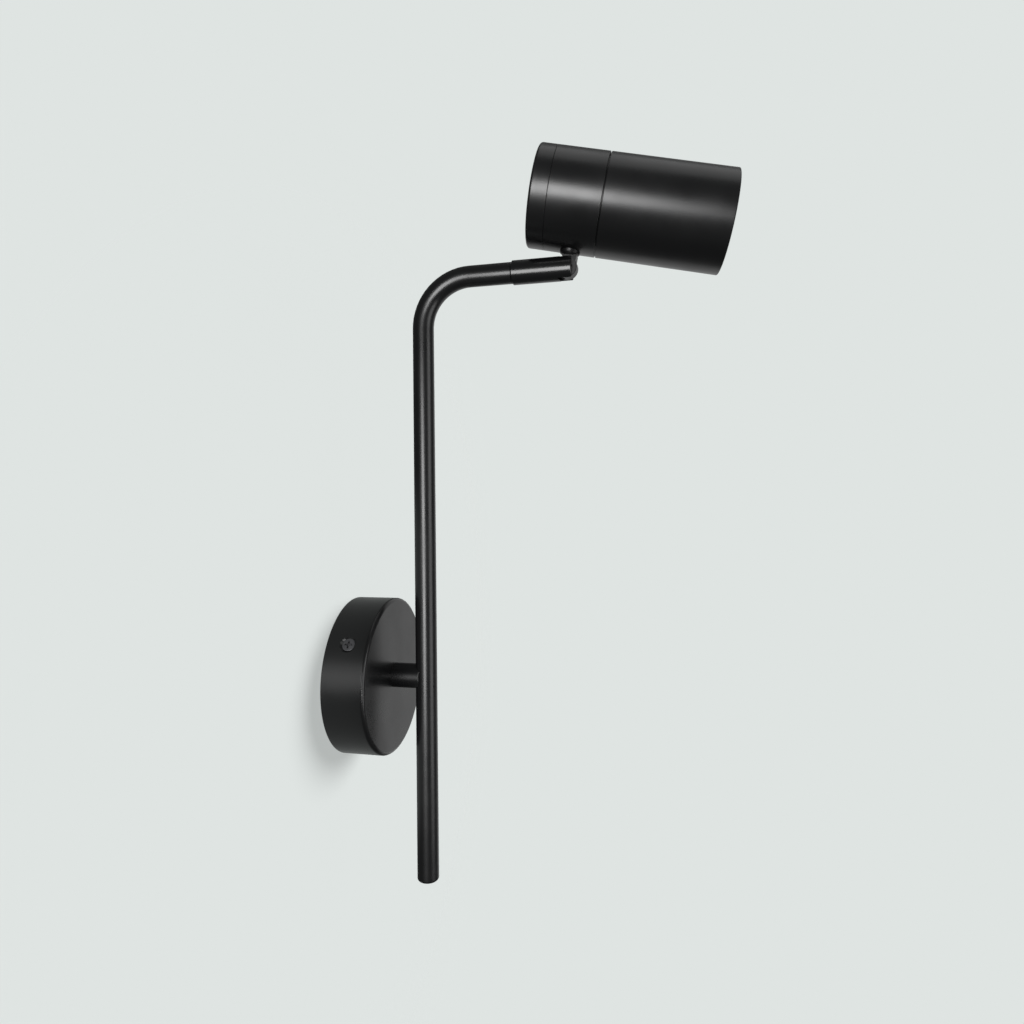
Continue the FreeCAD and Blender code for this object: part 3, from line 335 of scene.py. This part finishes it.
def round_skin(place, outline, count, shape=None, loop=False):
    """Lathe skin of (radius, height) points; shape(radius, height, angle) may change both."""
    if loop:
        outline = list(outline) + [outline[0]]
    rings = []
    for radius, height in outline:
        if radius == 0:
            rings.append([place @ Vector((0, 0, height))])
            continue
        ring = []
        for i in range(count):
            angle = 2 * math.pi * i / count
            r, z = shape(radius, height, angle) if shape else (radius, height)
            ring.append(place @ Vector((r * math.cos(angle), r * math.sin(angle), z)))
        rings.append(ring)
    return skin(rings)


def thread(crest, root, start, end, pitch, run_out):
    """Shape function: a thread between two heights, fading in and out over the run-out."""
    def shape(radius, height, angle):
        if abs(radius - crest) > ON_THE_CREST or not start <= height <= end:
            return radius, height
        wave = 0.5 - 0.5 * math.cos(2 * math.pi * (height / pitch - angle / (2 * math.pi)))
        fade = min(1.0, (height - start) / run_out, (end - height) / run_out)
        return crest + (root - crest) * wave * fade, height
    return shape


def steps(radius, start, end, size):
    """Points of one radius from one height to another, at most a size apart."""
    count = max(1, math.ceil(abs(end - start) / size))
    return [(radius, start + (end - start) * i / count) for i in range(count + 1)]


def islands(node):
    """Connected groups of a node's points, in a fixed order."""
    shape = bmesh.new()
    shape.from_mesh(nodes[node].data)
    bmesh.ops.remove_doubles(shape, verts=shape.verts, dist=WELD)
    left, groups = set(shape.verts), []
    for vert in list(shape.verts):
        if vert not in left:
            continue
        left.remove(vert)
        group, reached = [], [vert]
        while reached:
            current = reached.pop()
            group.append(current.co.copy())
            for edge in current.link_edges:
                other = edge.other_vert(current)
                if other in left:
                    left.remove(other)
                    reached.append(other)
        groups.append(group)
    shape.free()
    return sorted(groups, key=lambda group: tuple(round(c, 4) for c in group_middle(group)))


def group_middle(points):
    """Middle of the box around some points."""
    low = [min(point[i] for point in points) for i in range(3)]
    high = [max(point[i] for point in points) for i in range(3)]
    return (Vector(low) + Vector(high)) / 2


# ---- Screws ---------------------------------------------------------------------------------
RECESS_STEPS = 22        # rings across a screw's face
SCREW_SIDES = 72
COS_30 = 0.866
# Recesses: half widths and reach as shares of the head's radius, then millimetres.
SLOT_HALF, SLOT_DEPTH, SLOT_EDGE = 0.16, 0.9, 0.05
CROSS_REACH, CROSS_HALF, CROSS_MIDDLE = 0.58, 0.13, 0.3
CROSS_DEPTH, CROSS_EDGE, CROSS_MIDDLE_EDGE = 1.25, 0.10, 0.25
HEXAGON_HALF, HEXAGON_DEPTH, HEXAGON_EDGE = 0.38, 1.2, 0.05
# Heads: shares of the CAD head's radius, then millimetres.
COUNTERSUNK_SHARE, NEARLY_WIDEST = 0.86, 0.97
CROWN, HEAD_EDGE, COUNTERSUNK_EDGE, COUNTERSUNK_BAND = 0.25, 0.1, 0.05, 0.2
# Shanks: a share of the length, shares of the pitch, millimetres, rings per turn.
FOOT_SHARE = 0.3
DEPTH_SHARE, RUN_OUT_SHARE = 0.54, 0.6
FOOT_TAPER, NECK, WIDER = 0.3, 0.1, 0.02
SHANK_RINGS = 6
LEVEL = 0.01             # points closer than this are level with each other
OUT = Vector((0, -1, 0))
ASIDE = Vector((1, 0, 0))


def recess(kind, radius):
    """Depth in the head's face of a slot, a cross or a hexagon socket, by place."""
    def edge(distance, width):
        return min(1.0, max(0.0, -distance / width))

    def slot(x, y):
        return SLOT_DEPTH * edge(abs(y) - SLOT_HALF * radius, SLOT_EDGE)

    def cross(x, y):
        reach, half = CROSS_REACH * radius, CROSS_HALF * radius
        arms = min(max(abs(x) - reach, abs(y) - half), max(abs(y) - reach, abs(x) - half))
        middle = math.hypot(x, y) - CROSS_MIDDLE * radius
        return CROSS_DEPTH * max(edge(arms, CROSS_EDGE), edge(middle, CROSS_MIDDLE_EDGE))

    def hexagon(x, y):
        flats = max(abs(x), abs(x / 2 + y * COS_30), abs(x / 2 - y * COS_30))
        return HEXAGON_DEPTH * edge(flats - HEXAGON_HALF * radius, HEXAGON_EDGE)
    return {"slot": slot, "cross": cross, "hexagon": hexagon}[kind]


def screws(node, axis_of, body, kind, pitch, countersunk=False, crown=CROWN,
           up=(0.13, 0.4, 1)):
    """Machine screws with a recessed crowned head and a threaded shank, one per CAD solid."""
    parts = []
    for group in islands(node):
        middle = group_middle(group)
        place = frame_at(middle, axis_of(middle), up)
        local = [place.inverted() @ point for point in group]
        sizes = [(math.hypot(point.x, point.y), point.z) for point in local]
        top, foot = max(z for r, z in sizes), min(z for r, z in sizes)
        widest = max(r for r, z in sizes)
        shank = max(r for r, z in sizes if z < foot + FOOT_SHARE * (top - foot))
        if countersunk:
            head = COUNTERSUNK_SHARE * widest
            start = min(z for r, z in sizes if r > shank + WIDER)
            side = [(head, top - crown - COUNTERSUNK_EDGE), (head, top - crown - COUNTERSUNK_BAND)]
        else:
            head = widest
            start = min(z for r, z in sizes if r > NEARLY_WIDEST * widest)
            side = [(head, top - crown - HEAD_EDGE), (head, start + HEAD_EDGE),
                    (head - HEAD_EDGE, start)]
        root = shank - DEPTH_SHARE * pitch
        cut = recess(kind, head)
        cut_thread = thread(shank, root, foot + FOOT_TAPER, start - NECK, pitch,
                            RUN_OUT_SHARE * pitch)

        def face(radius, height, angle):
            if height < top - LEVEL:
                return cut_thread(radius, height, angle)
            x, y = radius * math.cos(angle), radius * math.sin(angle)
            return radius, top - crown * (radius / head) ** 2 - cut(x, y)
        outline = [(0, top)]
        outline += [(head * NEARLY_WIDEST * i / RECESS_STEPS, top)
                    for i in range(1, RECESS_STEPS + 1)]
        outline += side + steps(shank, start, foot + FOOT_TAPER, pitch / SHANK_RINGS)
        outline += [(root, foot), (0, foot)]
        parts.append(round_skin(place, outline, SCREW_SIDES, face))
    solid(node + ".cut", parts, body, node, (node,))


head_up = Vector(joints["head_pan"]["axis"]).normalized()
nose = Vector(joints["barrel_draw_off"]["axis"]).normalized()

screws("canopy_screws", lambda middle: Vector((middle.x, 0, middle.z)), "wall_mount", "cross",
       0.7, True, 0.2, (0, 1, 0))
screws("terminal_screws", lambda middle: OUT, "wall_mount", "slot", 0.5)
screws("terminal_fixing_screws", lambda middle: OUT, "wall_mount", "cross", 0.5)
screws("earth_screw", lambda middle: OUT, "wall_mount", "cross", 0.7)
screws("pivot_screw", lambda middle: ASIDE, "wall_mount", "hexagon", 0.7)
screws("holder_screws", lambda middle: nose, "head", "cross", 0.5)
screws("head_earth_screw", lambda middle: nose, "head", "cross", 0.5)


# ---- Head and lamp --------------------------------------------------------------------------
# All in millimetres, in the head's frame: Z runs from its back to its front.
HEAD_SETBACK = 24.6      # of the head's back, behind the stud's axis
ROUND = 192              # sides of the head
SEAM = 0.2               # chamfer at each side of a seam, with a ring as far behind it
THREAD_PITCH, THREAD_DEPTH, THREAD_RUN_OUT = 1.0, 0.5, 0.5
THREAD_RINGS = 8         # per turn
head_place = frame_at(Vector(joints["lamp_twist"]["pos_m"]) - nose * HEAD_SETBACK * MM, nose,
                      head_up)


def head_sizes(node):
    """Radius about the head's axis and distance from its back, of each of a node's points."""
    back = head_place.inverted()
    local = [back @ vert.co for vert in nodes[node].data.vertices]
    return [(math.hypot(point.x, point.y), point.z) for point in local]


def cylinder(start, end, radius, count=64):
    """Plain round cutter between two points of the head's frame."""
    axis = Vector(end) - Vector(start)
    place = Matrix.Translation(Vector(start)) @ axis.to_track_quat("Z", "Y").to_matrix().to_4x4()
    outline = [(0, 0), (radius, 0), (radius, axis.length), (0, axis.length)]
    points, faces = round_skin(head_place @ place, outline, count)
    mesh = bpy.data.meshes.new("cutter")
    mesh.from_pydata(points, [], faces)
    made = bpy.data.objects.new("cutter", mesh)
    scene.collection.objects.link(made)
    return made


def bore(piece, cutters):
    """Cuts round holes in a piece, and keeps the result as its mesh."""
    for cutter in cutters:
        cut = piece.modifiers.new("bore", "BOOLEAN")
        cut.operation, cut.solver, cut.object = "DIFFERENCE", "EXACT", cutter
    graph = bpy.context.evaluated_depsgraph_get()
    mesh = bpy.data.meshes.new_from_object(piece.evaluated_get(graph))
    piece.modifiers.clear()
    piece.data = mesh
    for cutter in cutters:
        bpy.data.objects.remove(cutter)


# Rear housing: outside, seam chamfers, threaded spigot, bore and counterbore.
THREAD_MARGIN = 0.5      # plain length at each end of the spigot's thread
LEDGE = 0.5              # the least step between counterbore and bore
STUD_HOLE, PIN_HOLE, PIN_ACROSS, PIN_DEPTH, PIN_SIDES = 5.06, 0.93, 8.2, 1.0, 24
CUT_INSIDE, CUT_OUTSIDE = 3, 1         # how far the cutters reach past the wall
sizes = head_sizes("rear_housing")
skin_radius = max(r for r, z in sizes)
housing_back, spigot_end = min(z for r, z in sizes), max(z for r, z in sizes)
shoulder = max(z for r, z in sizes if r > skin_radius - LEVEL) + SEAM
spigot = max(r for r, z in sizes if z > shoulder + 0.1)
bore_radius = min(r for r, z in sizes if z > spigot_end - LEVEL)
counterbore = min(r for r, z in sizes if z < housing_back + LEVEL)
ledge = min(z for r, z in sizes if r < counterbore - LEDGE)
thread_start, thread_end = shoulder + THREAD_MARGIN, spigot_end - THREAD_MARGIN
outline = [(counterbore, housing_back), (skin_radius - SEAM, housing_back),
           (skin_radius, housing_back + SEAM), (skin_radius, housing_back + 2 * SEAM),
           (skin_radius, shoulder - 2 * SEAM), (skin_radius, shoulder - SEAM),
           (skin_radius - SEAM, shoulder), (spigot, shoulder)]
outline += steps(spigot, thread_start, thread_end, THREAD_PITCH / THREAD_RINGS)
outline += [(spigot - THREAD_DEPTH, spigot_end), (bore_radius, spigot_end),
            (bore_radius, ledge), (counterbore, ledge)]
screw_thread = thread(spigot, spigot - THREAD_DEPTH, thread_start, thread_end, THREAD_PITCH,
                      THREAD_RUN_OUT)
housing = solid("rear_housing.cut", [round_skin(head_place, outline, ROUND, screw_thread, True)],
                "head", "rear_housing", ("rear_housing",))
pin_row = HEAD_SETBACK - PIN_ACROSS
bore(housing, [
    cylinder((0, CUT_INSIDE - bore_radius, HEAD_SETBACK),
             (0, -skin_radius - CUT_OUTSIDE, HEAD_SETBACK), STUD_HOLE),
    cylinder((0, CUT_INSIDE - bore_radius, pin_row), (0, -bore_radius - PIN_DEPTH, pin_row),
             PIN_HOLE, PIN_SIDES)])

# Front barrel: threaded inside at the back, and ring grooves inside the mouth against glare.
RIM, RIM_SUPPORT = 0.4, 0.12
GROOVE_PITCH, GROOVE_DEPTH, GROOVE_SLOPE, GROOVE_WIDTH = 1.2, 0.35, 0.15, 0.75
FIRST_GROOVE, LAST_GROOVE = 2.0, 2.5   # behind the mouth, and before the lamp's front
NUT_START, NUT_PAST = 0.4, 0.6         # from the barrel's back, and past the spigot's end
sizes = head_sizes("front_barrel")
barrel_back, barrel_front = min(z for r, z in sizes), max(z for r, z in sizes)
barrel_bore = min(r for r, z in sizes)
lamp_sizes = head_sizes("lamp_housing")
lamp_back, lamp_front = min(z for r, z in lamp_sizes), max(z for r, z in lamp_sizes)
nut_start, nut_end = barrel_back + NUT_START, spigot_end + NUT_PAST
outline = [(barrel_bore, barrel_back), (skin_radius - SEAM, barrel_back),
           (skin_radius, barrel_back + SEAM), (skin_radius, barrel_back + 2 * SEAM),
           (skin_radius, barrel_front - RIM - SEAM), (skin_radius, barrel_front - RIM),
           (skin_radius - RIM_SUPPORT, barrel_front - RIM_SUPPORT),
           (skin_radius - RIM, barrel_front), (barrel_bore + RIM, barrel_front),
           (barrel_bore, barrel_front - RIM)]
groove = barrel_front - FIRST_GROOVE
while groove > lamp_front + LAST_GROOVE:
    outline += [(barrel_bore, groove), (barrel_bore + GROOVE_DEPTH, groove - GROOVE_SLOPE),
                (barrel_bore + GROOVE_DEPTH, groove - (GROOVE_WIDTH - GROOVE_SLOPE)),
                (barrel_bore, groove - GROOVE_WIDTH)]
    groove -= GROOVE_PITCH
outline += steps(barrel_bore, nut_end, nut_start, THREAD_PITCH / THREAD_RINGS)
nut_thread = thread(barrel_bore, barrel_bore + THREAD_DEPTH, nut_start, nut_end, THREAD_PITCH,
                    THREAD_RUN_OUT)
solid("front_barrel.cut", [round_skin(head_place, outline, ROUND, nut_thread, True)],
      "barrel", "front_barrel", ("front_barrel",))

# Lamp's body: base with a groove, finned waist, rim and the hollow behind the lens.
FIN_COUNT, FIN_DEPTH, FIN_SHARPNESS, FIN_FADE = 20, 1.6, 4, 2
LAMP_SIDES = 320         # sixteen to each fin
BASE_RADIUS, BASE_HEIGHT, RIM_HEIGHT, FLOOR_RADIUS = 11.5, 6.5, 8.0, 10.0
BASE_EDGE, BASE_GROOVE = 0.4, ((0, 3.0), (0.4, 3.3), (0.4, 4.0), (0, 4.3))
WAIST_SHARE, SLOPE_STEPS, RIM_EDGE = 0.62, 10, 0.5
LENS_GAP, LENS_DROP, LENS_SEAT = 0.05, 0.02, 1.2
lamp_rim = max(r for r, z in lamp_sizes)
lamp_floor = max(z for r, z in lamp_sizes if r < FLOOR_RADIUS + LEVEL)
lens_sizes = head_sizes("lamp_lens")
lens_radius, lens_top = max(r for r, z in lens_sizes), max(z for r, z in lens_sizes)
lens_foot = min(z for r, z in lens_sizes)
flange = min(z for r, z in lens_sizes if r > lens_radius - LEVEL)
base_top, rim_back = lamp_back + BASE_HEIGHT, lamp_front - RIM_HEIGHT
waist = (base_top + rim_back) / 2
waist_radius = BASE_RADIUS + WAIST_SHARE * (lamp_rim - BASE_RADIUS)


def sloping(start, end, count):
    """Points evenly along a line, with both its ends."""
    return [tuple(a + (b - a) * i / count for a, b in zip(start, end)) for i in range(count + 1)]


def fins(radius, height, angle):
    """Shape function: fins between the base and the rim, fading in and out."""
    if not base_top < height < rim_back:
        return radius, height
    wave = 0.5 + 0.5 * math.tanh(FIN_SHARPNESS * math.cos(FIN_COUNT * angle))
    fade = min(1.0, (height - base_top) / FIN_FADE, (rim_back - height) / FIN_FADE)
    return radius - FIN_DEPTH * wave * fade, height


seat = (lens_radius + LENS_GAP, flange - LENS_DROP)
outline = [(0, lamp_back), (BASE_RADIUS - BASE_EDGE, lamp_back),
           (BASE_RADIUS, lamp_back + BASE_EDGE)]
outline += [(BASE_RADIUS - depth, lamp_back + height) for depth, height in BASE_GROOVE]
outline += sloping((BASE_RADIUS, base_top), (waist_radius, waist), SLOPE_STEPS)
outline += sloping((waist_radius, waist), (lamp_rim, rim_back), SLOPE_STEPS)[1:]
outline += [(lamp_rim, lamp_front - RIM_EDGE), (lamp_rim - RIM_EDGE, lamp_front),
            (seat[0], lamp_front), seat]
hollow = [seat, (lens_radius - LENS_SEAT, seat[1]), (FLOOR_RADIUS, lamp_floor), (0, lamp_floor)]
solid("lamp_housing.finned", [round_skin(head_place, outline, LAMP_SIDES, fins),
                              round_skin(head_place, hollow, LAMP_SIDES)],
      "lamp", "lamp_housing", ("lamp_housing",))

# Lens: faceted front, flange, bowl behind it and a hollow over the light source.
CELL, FACET_DEPTH, CLEAR_EDGE, ROWS_PER_CELL = 2.3, 0.45, 2.6, 7
LENS_EDGE, FLANGE_WIDTH, LENS_SHARP = 0.2, 3.0, 50
THROAT, BOWL_STEPS, BOWL_CURVE = 6.0, 12, 0.8
HOLLOW = ((4.3, 0), (4.0, 3.5), (2.4, 4.6), (0, 5.0))


def facets(radius, height, angle):
    """Shape function: rings of small domes on the front, inside a clear edge."""
    if height < lens_top - LEVEL or radius > lens_radius - CLEAR_EDGE:
        return radius, height
    row, within = divmod(radius, CELL)
    around = max(1, round(2 * math.pi * (row + 0.5)))
    dome = math.sin(math.pi * within / CELL) * abs(math.sin(around * angle / 2))
    return radius, lens_top - FACET_DEPTH * (1 - dome)


def bowl(share):
    """Point of the bowl's outside, from the throat at 0 to the flange at 1."""
    width = lens_radius - FLANGE_WIDTH - THROAT
    return THROAT + width * share ** BOWL_CURVE, lens_foot + (flange - lens_foot) * share


rows = round((lens_radius - CLEAR_EDGE) / CELL * ROWS_PER_CELL)
outline = [(0, lens_top - FACET_DEPTH)]
outline += [((lens_radius - CLEAR_EDGE) * i / rows, lens_top) for i in range(1, rows + 1)]
outline += [(lens_radius - LENS_EDGE, lens_top), (lens_radius, lens_top - LENS_EDGE),
            (lens_radius, flange), (lens_radius - FLANGE_WIDTH, flange)]
outline += [bowl(i / BOWL_STEPS) for i in range(BOWL_STEPS - 1, -1, -1)]
outline += [(radius, lens_foot + height) for radius, height in HOLLOW]
solid("lamp_lens.faceted", [round_skin(head_place, outline, LAMP_SIDES, facets)],
      "lamp", "lamp_lens", ("lamp_lens",), sharp=LENS_SHARP)

# Board: turned disc with a raised ring, the phosphor in the ring, and solder pads around it.
FOOT_EDGE, BOARD_EDGE, BOARD_SIDES = 0.2, 0.15, 96
LED_RADIUS, LED_INSIDE, LED_FLOOR = 4.0, 3.4, 0.35
PHOSPHOR_RADIUS, PHOSPHOR_FOOT, PHOSPHOR_EDGE, PHOSPHOR_RISE = 3.38, 0.6, 0.34, 0.25
PHOSPHOR_STEPS, PHOSPHOR_SIDES = 8, 64
PAD_COUNT, PAD_FIRST_ANGLE, PAD_RING, PAD_SIDES = 6, 15, 6.9, 24
PAD = ((0, -0.1), (0.8, -0.1), (0.8, 0.1), (0.55, 0.28), (0, 0.34))
board_sizes = head_sizes("lamp_led_board")
board_floor, led_top = min(z for r, z in board_sizes), max(z for r, z in board_sizes)
board_radius = max(r for r, z in board_sizes)
board_top = max(z for r, z in board_sizes if r > board_radius - LEVEL)
outline = [(0, board_floor), (board_radius - FOOT_EDGE, board_floor),
           (board_radius, board_floor + FOOT_EDGE), (board_radius, board_top - BOARD_EDGE),
           (board_radius - BOARD_EDGE, board_top), (LED_RADIUS, board_top),
           (LED_RADIUS, led_top - BOARD_EDGE), (LED_RADIUS - BOARD_EDGE, led_top),
           (LED_INSIDE + BOARD_EDGE, led_top), (LED_INSIDE, led_top - LED_FLOOR),
           (0, led_top - LED_FLOOR)]
solid("lamp_led_board.turned", [round_skin(head_place, outline, BOARD_SIDES)], "lamp",
      "lamp_led_board", ("lamp_led_board",))

outline = [(0, led_top - PHOSPHOR_FOOT), (PHOSPHOR_RADIUS, led_top - PHOSPHOR_FOOT)]
for i in range(PHOSPHOR_STEPS):
    turned = math.pi / 2 * i / PHOSPHOR_STEPS
    outline.append((PHOSPHOR_RADIUS * math.cos(turned),
                    led_top - PHOSPHOR_EDGE + PHOSPHOR_RISE * math.sin(turned)))
outline.append((0, led_top - PHOSPHOR_EDGE + PHOSPHOR_RISE))
solid("lamp_phosphor", [round_skin(head_place, outline, PHOSPHOR_SIDES)], "lamp",
      "lamp_led_board", material=phosphor)

pads = []
for i in range(PAD_COUNT):
    angle = math.radians(360 / PAD_COUNT * i + PAD_FIRST_ANGLE)
    spot = Matrix.Rotation(angle, 4, "Z") @ Matrix.Translation((PAD_RING, 0, 0))
    outline = [(radius, board_top + height) for radius, height in PAD]
    pads.append(round_skin(head_place @ spot, outline, PAD_SIDES))
solid("lamp_board_pads", pads, "lamp", "lamp_led_board", material=finishes["zinc_steel"])


# ---- Stage ----------------------------------------------------------------------------------
BACKGROUND = srgb(223, 228, 226)
ROOM_LIGHT = 0.05        # brightness of the dim room all round
MIRRORED = 0.12          # of the background's brightness, where the satin black mirrors it
MIRRORED_NEAR = 0.44     # the same, of the wall close to the canopy
SHADOW_SHARE = 0.38      # share of the wall's brightness that a shadow takes away
BACKDROP_ALBEDO = 0.5    # of the wall and floor, in the background's own colour
CLOSE, FAR = 0.08, 0.12  # metres from the canopy's axis, where the mirrored wall dims
MIDDLE = Vector((0, -0.08, 0.08))      # what the lights point at
SUN_AZIMUTH, SUN_ELEVATION, SUN_WIDTH = 38, 12.6, 36
LAMP_DISTANCE = 2.0      # metres, of the sun's marker
WALL_PLACE, FLOOR_PLACE = (0, 0.0002, 0), (0, -0.1, -0.7)
WALL_SOLID, WALL_REACH = 0.20, 0.32    # metres from the middle, where the wall starts to fade
FLOOR_SOLID, FLOOR_REACH = 0.35, 0.55  # and where it is gone, then the same of the floor
HEAD_BODIES = ["body:" + name for name in ("head", "barrel", "lamp")]


def backdrop_material(name, solid, reach, near, glow_strength):
    """Pale matt surface that keeps shadows, fades outwards and isn't there from behind."""
    data = bpy.data.materials.new(name)
    data.use_nodes = True
    tree = data.node_tree
    tree.nodes.clear()

    def node(kind, **settings):
        made = tree.nodes.new(kind)
        for setting, value in settings.items():
            setattr(made, setting, value)
        return made

    def link(source, target):
        tree.links.new(source, target)

    path = node("ShaderNodeLightPath")
    seen = node("ShaderNodeMath", operation="MAXIMUM")
    link(path.outputs["Is Camera Ray"], seen.inputs[0])
    link(path.outputs["Is Transmission Ray"], seen.inputs[1])
    strength = node("ShaderNodeMath", operation="MULTIPLY")
    strength.inputs[1].default_value = glow_strength
    link(seen.outputs[0], strength.inputs[0])
    glow = node("ShaderNodeEmission")
    glow.inputs["Color"].default_value = BACKGROUND
    link(strength.outputs[0], glow.inputs["Strength"])
    diffuse = node("ShaderNodeBsdfDiffuse")
    diffuse.inputs["Color"].default_value = [BACKDROP_ALBEDO * v for v in BACKGROUND[:3]] + [1]
    lit = node("ShaderNodeAddShader")
    link(diffuse.outputs[0], lit.inputs[0])
    link(glow.outputs[0], lit.inputs[1])
    mirrored = node("ShaderNodeEmission")
    mirrored.inputs["Color"].default_value = BACKGROUND
    close = node("ShaderNodeMapRange", interpolation_type="SMOOTHSTEP")
    for setting, value in (("From Min", CLOSE), ("From Max", FAR), ("To Min", near),
                           ("To Max", MIRRORED)):
        close.inputs[setting].default_value = value
    link(close.outputs["Result"], mirrored.inputs["Strength"])
    look = node("ShaderNodeMixShader")
    link(path.outputs["Is Glossy Ray"], look.inputs[0])
    link(lit.outputs[0], look.inputs[1])
    link(mirrored.outputs[0], look.inputs[2])

    distance = node("ShaderNodeVectorMath", operation="LENGTH")
    link(node("ShaderNodeTexCoord").outputs["Object"], distance.inputs[0])
    fade = node("ShaderNodeMapRange", interpolation_type="SMOOTHSTEP")
    fade.inputs["From Min"].default_value = solid
    fade.inputs["From Max"].default_value = reach
    link(distance.outputs["Value"], fade.inputs["Value"])
    link(distance.outputs["Value"], close.inputs["Value"])
    clear = node("ShaderNodeMath", operation="MAXIMUM")
    link(fade.outputs["Result"], clear.inputs[0])
    link(node("ShaderNodeNewGeometry").outputs["Backfacing"], clear.inputs[1])
    mixed = node("ShaderNodeMixShader")
    link(clear.outputs[0], mixed.inputs[0])
    link(look.outputs[0], mixed.inputs[1])
    link(node("ShaderNodeBsdfTransparent").outputs[0], mixed.inputs[2])
    link(mixed.outputs[0], node("ShaderNodeOutputMaterial").inputs["Surface"])
    return data


def backdrop(name, corners, place, solid, reach, near):
    """Square surface, as bright as the background where the sun reaches it."""
    mesh = bpy.data.meshes.new(name)
    mesh.from_pydata([Vector(corner) * reach for corner in corners], [], [(0, 1, 2, 3)])
    facing = (Vector(corners[1]) - Vector(corners[0])).cross(
        Vector(corners[2]) - Vector(corners[1])).normalized()
    sun_share = SHADOW_SHARE * sun_towards.dot(facing) / -sun_towards.y
    glow_strength = 1 - sun_share - ROOM_LIGHT * BACKDROP_ALBEDO
    mesh.materials.append(backdrop_material(name, solid, reach, near, glow_strength))
    surface = bpy.data.objects.new(name, mesh)
    surface.location = place
    scene.collection.objects.link(surface)
    surface.visible_shadow = False
    surface.visible_diffuse = False
    return surface


def make_world():
    """The background's colour where it is seen, and a dim room for the rest of the light."""
    world = bpy.data.worlds.new("studio")
    scene.world = world
    world.use_nodes = True
    tree = world.node_tree
    path = tree.nodes.new("ShaderNodeLightPath")
    mirrored = tree.nodes.new("ShaderNodeMath")
    mirrored.operation = "MULTIPLY"
    mirrored.inputs[1].default_value = MIRRORED
    tree.links.new(path.outputs["Is Glossy Ray"], mirrored.inputs[0])
    seen = path.outputs["Is Camera Ray"]
    for source in (path.outputs["Is Transmission Ray"], mirrored.outputs[0]):
        either = tree.nodes.new("ShaderNodeMath")
        either.operation = "MAXIMUM"
        tree.links.new(seen, either.inputs[0])
        tree.links.new(source, either.inputs[1])
        seen = either.outputs[0]
    mix = tree.nodes.new("ShaderNodeMix")
    mix.data_type = "RGBA"
    mix.inputs["A"].default_value = [ROOM_LIGHT] * 3 + [1]
    mix.inputs["B"].default_value = BACKGROUND
    tree.links.new(seen, mix.inputs["Factor"])
    tree.links.new(mix.outputs["Result"], tree.nodes["Background"].inputs["Color"])


def towards(azimuth, elevation):
    """Direction from the object: azimuth 0 is out in the room, 90 towards +X."""
    a, e = math.radians(azimuth), math.radians(elevation)
    return Vector((math.sin(a) * math.cos(e), -math.cos(a) * math.cos(e), math.sin(e)))


def light(name, kind, direction, distance, energy):
    """A lamp that points at the middle from a direction, and isn't seen itself."""
    data = bpy.data.lights.new(name, kind)
    data.energy = energy
    lamp = bpy.data.objects.new(name, data)
    lamp.location = MIDDLE + direction * distance
    lamp.rotation_mode = "QUATERNION"
    lamp.rotation_quaternion = direction.to_track_quat("Z", "Y")
    lamp.visible_camera = False
    scene.collection.objects.link(lamp)
    return lamp


def panel(name, azimuth, elevation, distance, width, height, radiance, lights):
    """Soft light panel that lights a collection's objects; sizes in metres."""
    lamp = light(name, "AREA", towards(azimuth, elevation), distance,
                 radiance * math.pi * width * height)
    lamp.data.shape = "RECTANGLE"
    lamp.data.size, lamp.data.size_y = width, height
    lamp.light_linking.receiver_collection = lights


sun_towards = towards(SUN_AZIMUTH, SUN_ELEVATION)
make_world()
wall = backdrop("wall", [(-1, 0, -1), (1, 0, -1), (1, 0, 1), (-1, 0, 1)], WALL_PLACE,
                WALL_SOLID, WALL_REACH, MIRRORED_NEAR)
floor = backdrop("floor", [(-1, -1, 0), (1, -1, 0), (1, 1, 0), (-1, 1, 0)], FLOOR_PLACE,
                 FLOOR_SOLID, FLOOR_REACH, MIRRORED)

# Collections that lights and shadows are limited to. In no_backdrop and arm_only the entries
# are what the light leaves out.
no_backdrop = bpy.data.collections.new("lit_without_backdrop")
arm_only = bpy.data.collections.new("lit_without_head_and_canopy")
only_head = bpy.data.collections.new("lit_head")
only_canopy = bpy.data.collections.new("lit_canopy")
only_backdrop = bpy.data.collections.new("lit_backdrop")
shadow_casters = bpy.data.collections.new("shadow_casters")
for surface in (wall, floor):
    for collection in (no_backdrop, arm_only, only_backdrop):
        collection.objects.link(surface)
for piece in list(scene.objects):
    if piece.type == "MESH" and piece.parent and piece.parent.name in HEAD_BODIES:
        arm_only.objects.link(piece)
        only_head.objects.link(piece)
arm_only.objects.link(nodes["canopy"])
only_canopy.objects.link(nodes["canopy"])
for collection in (no_backdrop, arm_only):
    for entry in collection.collection_objects:
        entry.light_linking.link_state = "EXCLUDE"
shadow_casters.objects.link(nodes["canopy"])

# Name, azimuth, elevation, distance, width, height, radiance and what the panel lights.
panel("arm_key", -93, -5, 1.2, 0.66, 0.64, 11.5, arm_only)
panel("head_key", -93, 7, 1.2, 0.62, 0.48, 15.0, only_head)
panel("canopy_key", -107, 4, 1.2, 0.50, 0.40, 8.5, only_canopy)
panel("canopy_rim", -58, -8, 1.2, 0.12, 0.70, 12.0, only_canopy)
panel("room_side", -14, -4, 1.6, 0.95, 1.50, 2.2, no_backdrop)
panel("far_side", 90, 0, 1.4, 2.40, 2.60, 0.5, no_backdrop)
panel("overhead", 20, 74, 1.4, 1.00, 1.00, 0.7, no_backdrop)

# One sun lights the wall and floor alone, and makes the canopy's shadow on the wall.
sun = light("wall_sun", "SUN", sun_towards, LAMP_DISTANCE,
            SHADOW_SHARE * math.pi / (BACKDROP_ALBEDO * -sun_towards.y))
sun.data.angle = math.radians(SUN_WIDTH)
sun.visible_glossy = False
sun.light_linking.receiver_collection = only_backdrop
sun.light_linking.blocker_collection = shadow_casters

scene.view_settings.view_transform = "Standard"
